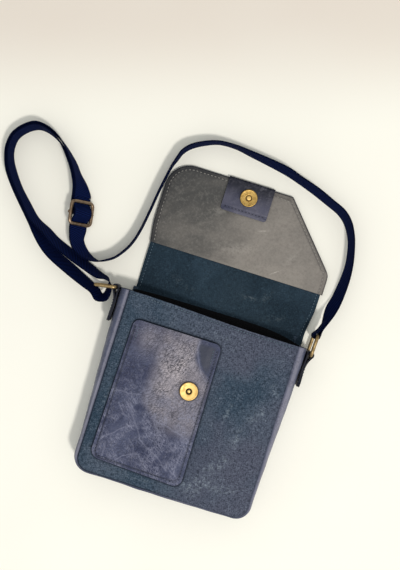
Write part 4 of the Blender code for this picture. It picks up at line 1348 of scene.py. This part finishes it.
def pathLength(path):
    return sum((b[0] - a[0]).length for a, b in zip(path, path[1:]))


def nearestStep(path, place):
    return min(range(len(path)), key=lambda index: (path[index][0] - Vector(place)).length)


def makeWeb(name, path, node, start):  # one stretch of webbing
    def shape(u, v):
        index = round(v * (len(path) - 1))
        middle, side = path[index]
        spot = middle + side.normalized() * strapForm["width"] * (u - 0.5)
        return (*spot, strapForm["width"] * u, start + strapForm["spacing"] * index)

    made = thicken(settle(name, patch(12, len(path) - 1, shape), webbing), strapForm["thick"], 0.0, edge=0.25)
    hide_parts(node)
    return made


cut = nearestStep(singlePath, (-30, 258, 10.7))
rightPath, topPath = singlePath[:cut + 1], singlePath[cut:]
strapRight = makeWeb("strapRight", rightPath, "strap_single", 0.0)
strapTop = makeWeb("strapTop", topPath, "strap_single", strapForm["spacing"] * cut)
cut = nearestStep(outerPath, (-249, 192, 10.7))
outerUpper, outerLower = outerPath[:cut + 1], outerPath[cut:]
strapOuterUpper = makeWeb("strapOuterUpper", outerUpper, "strap_outer", 0.0)
strapOuterLower = makeWeb("strapOuterLower", outerLower, "strap_outer", strapForm["spacing"] * cut)
cut = nearestStep(innerPath, (-249, 192, 10.7))
innerLower, innerUpper = innerPath[:cut + 1], innerPath[cut:]
strapInnerLower = makeWeb("strapInnerLower", innerLower, "strap_inner", 0.0)
strapInnerUpper = makeWeb("strapInnerUpper", innerUpper, "strap_inner", strapForm["spacing"] * cut)
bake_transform(strapRight)
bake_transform(strapTop)
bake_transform(strapOuterUpper)
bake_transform(strapInnerUpper)
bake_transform(strapOuterLower)
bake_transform(strapInnerLower)
for made, path in ((strapRight, rightPath), (strapTop, topPath), (strapOuterUpper, outerUpper),
                   (strapOuterLower, outerLower), (strapInnerLower, innerLower),
                   (strapInnerUpper, innerUpper)):
    places = [tuple(middle * mm) for middle, _ in path]
    pathLength(path) * mm
print("strap made", round(pathLength(singlePath)), round(pathLength(outerPath)), round(pathLength(innerPath)))

stageForm = {"keyPower": 54.0, "keyWay": (0.382, -0.274, 0.883), "keyFar": 3.4, "keySize": 0.4,
             "overPower": 1.2, "fill": 0.56, "turn": 17.5, "lens": 47.37, "eye": (-0.02329, 0.11388, 0.773)}
floorFinish = Finish("pale table", 0.8)
floorPlace = floorFinish.place()
floorAway = floorFinish.split(floorFinish.turned(floorPlace, turn=stageForm["turn"]), 1)
# painted light on the table: bright near the bag, darker and warmer further up the view, with soft painted
# patches
floorPaintedLight = floorFinish.tint(floorFinish.step(floorAway, 0.27, 0.4), ink(255, 253, 243), ink(233, 223, 212))
floorPaintedPatches = floorFinish.step(floorFinish.cloud(floorPlace, 5, 2, 0.5), 0.35, 0.65) * 0.2
floorFinish.set({"Base Color": floorFinish.tint(floorPaintedPatches, floorPaintedLight, ink(244, 240, 231))})
bm = bmesh.new()
bmesh.ops.create_grid(bm, x_segments=2, y_segments=2, size=2.5)
bmesh.ops.translate(bm, verts=bm.verts, vec=(0.0, 0.0, -0.0004))
floor = settle("floor", bm, floorFinish)


def areaLight(name, way, far, size, power, colour):
    lamp = bpy.data.lights.new(name, "AREA")
    lamp.shape = "DISK"
    lamp.size = size
    lamp.energy = power
    lamp.color = colour
    made = bpy.data.objects.new(name, lamp)
    scene.collection.objects.link(made)
    place = Vector(way).normalized() * far
    made.location = place + Vector((-0.02, 0.08, 0.0))
    made.rotation_euler = (-place).to_track_quat("-Z", "Y").to_euler()


areaLight("key", stageForm["keyWay"], stageForm["keyFar"], stageForm["keySize"], stageForm["keyPower"],
          (1.0, 0.97, 0.92))
areaLight("overhead", (-0.02, -0.18, 1.0), 1.3, 0.7, stageForm["overPower"], (1.0, 0.99, 0.97))
world = bpy.data.worlds.new("studio")
scene.world = world
world.use_nodes = True
sky = world.node_tree.nodes["Background"].inputs
sky["Color"].default_value = (0.98, 1.0, 0.98, 1.0)
sky["Strength"].default_value = stageForm["fill"]

camera = bpy.data.cameras.new("camera")
camera.lens = stageForm["lens"]
camera.sensor_width = 36.0
cameraObject = bpy.data.objects.new("camera", camera)
cameraObject.location = stageForm["eye"]
cameraObject.rotation_euler = (0.0, 0.0, math.radians(stageForm["turn"]))
scene.collection.objects.link(cameraObject)
scene.camera = cameraObject
scene.view_settings.view_transform = "Standard"
print("stage made")
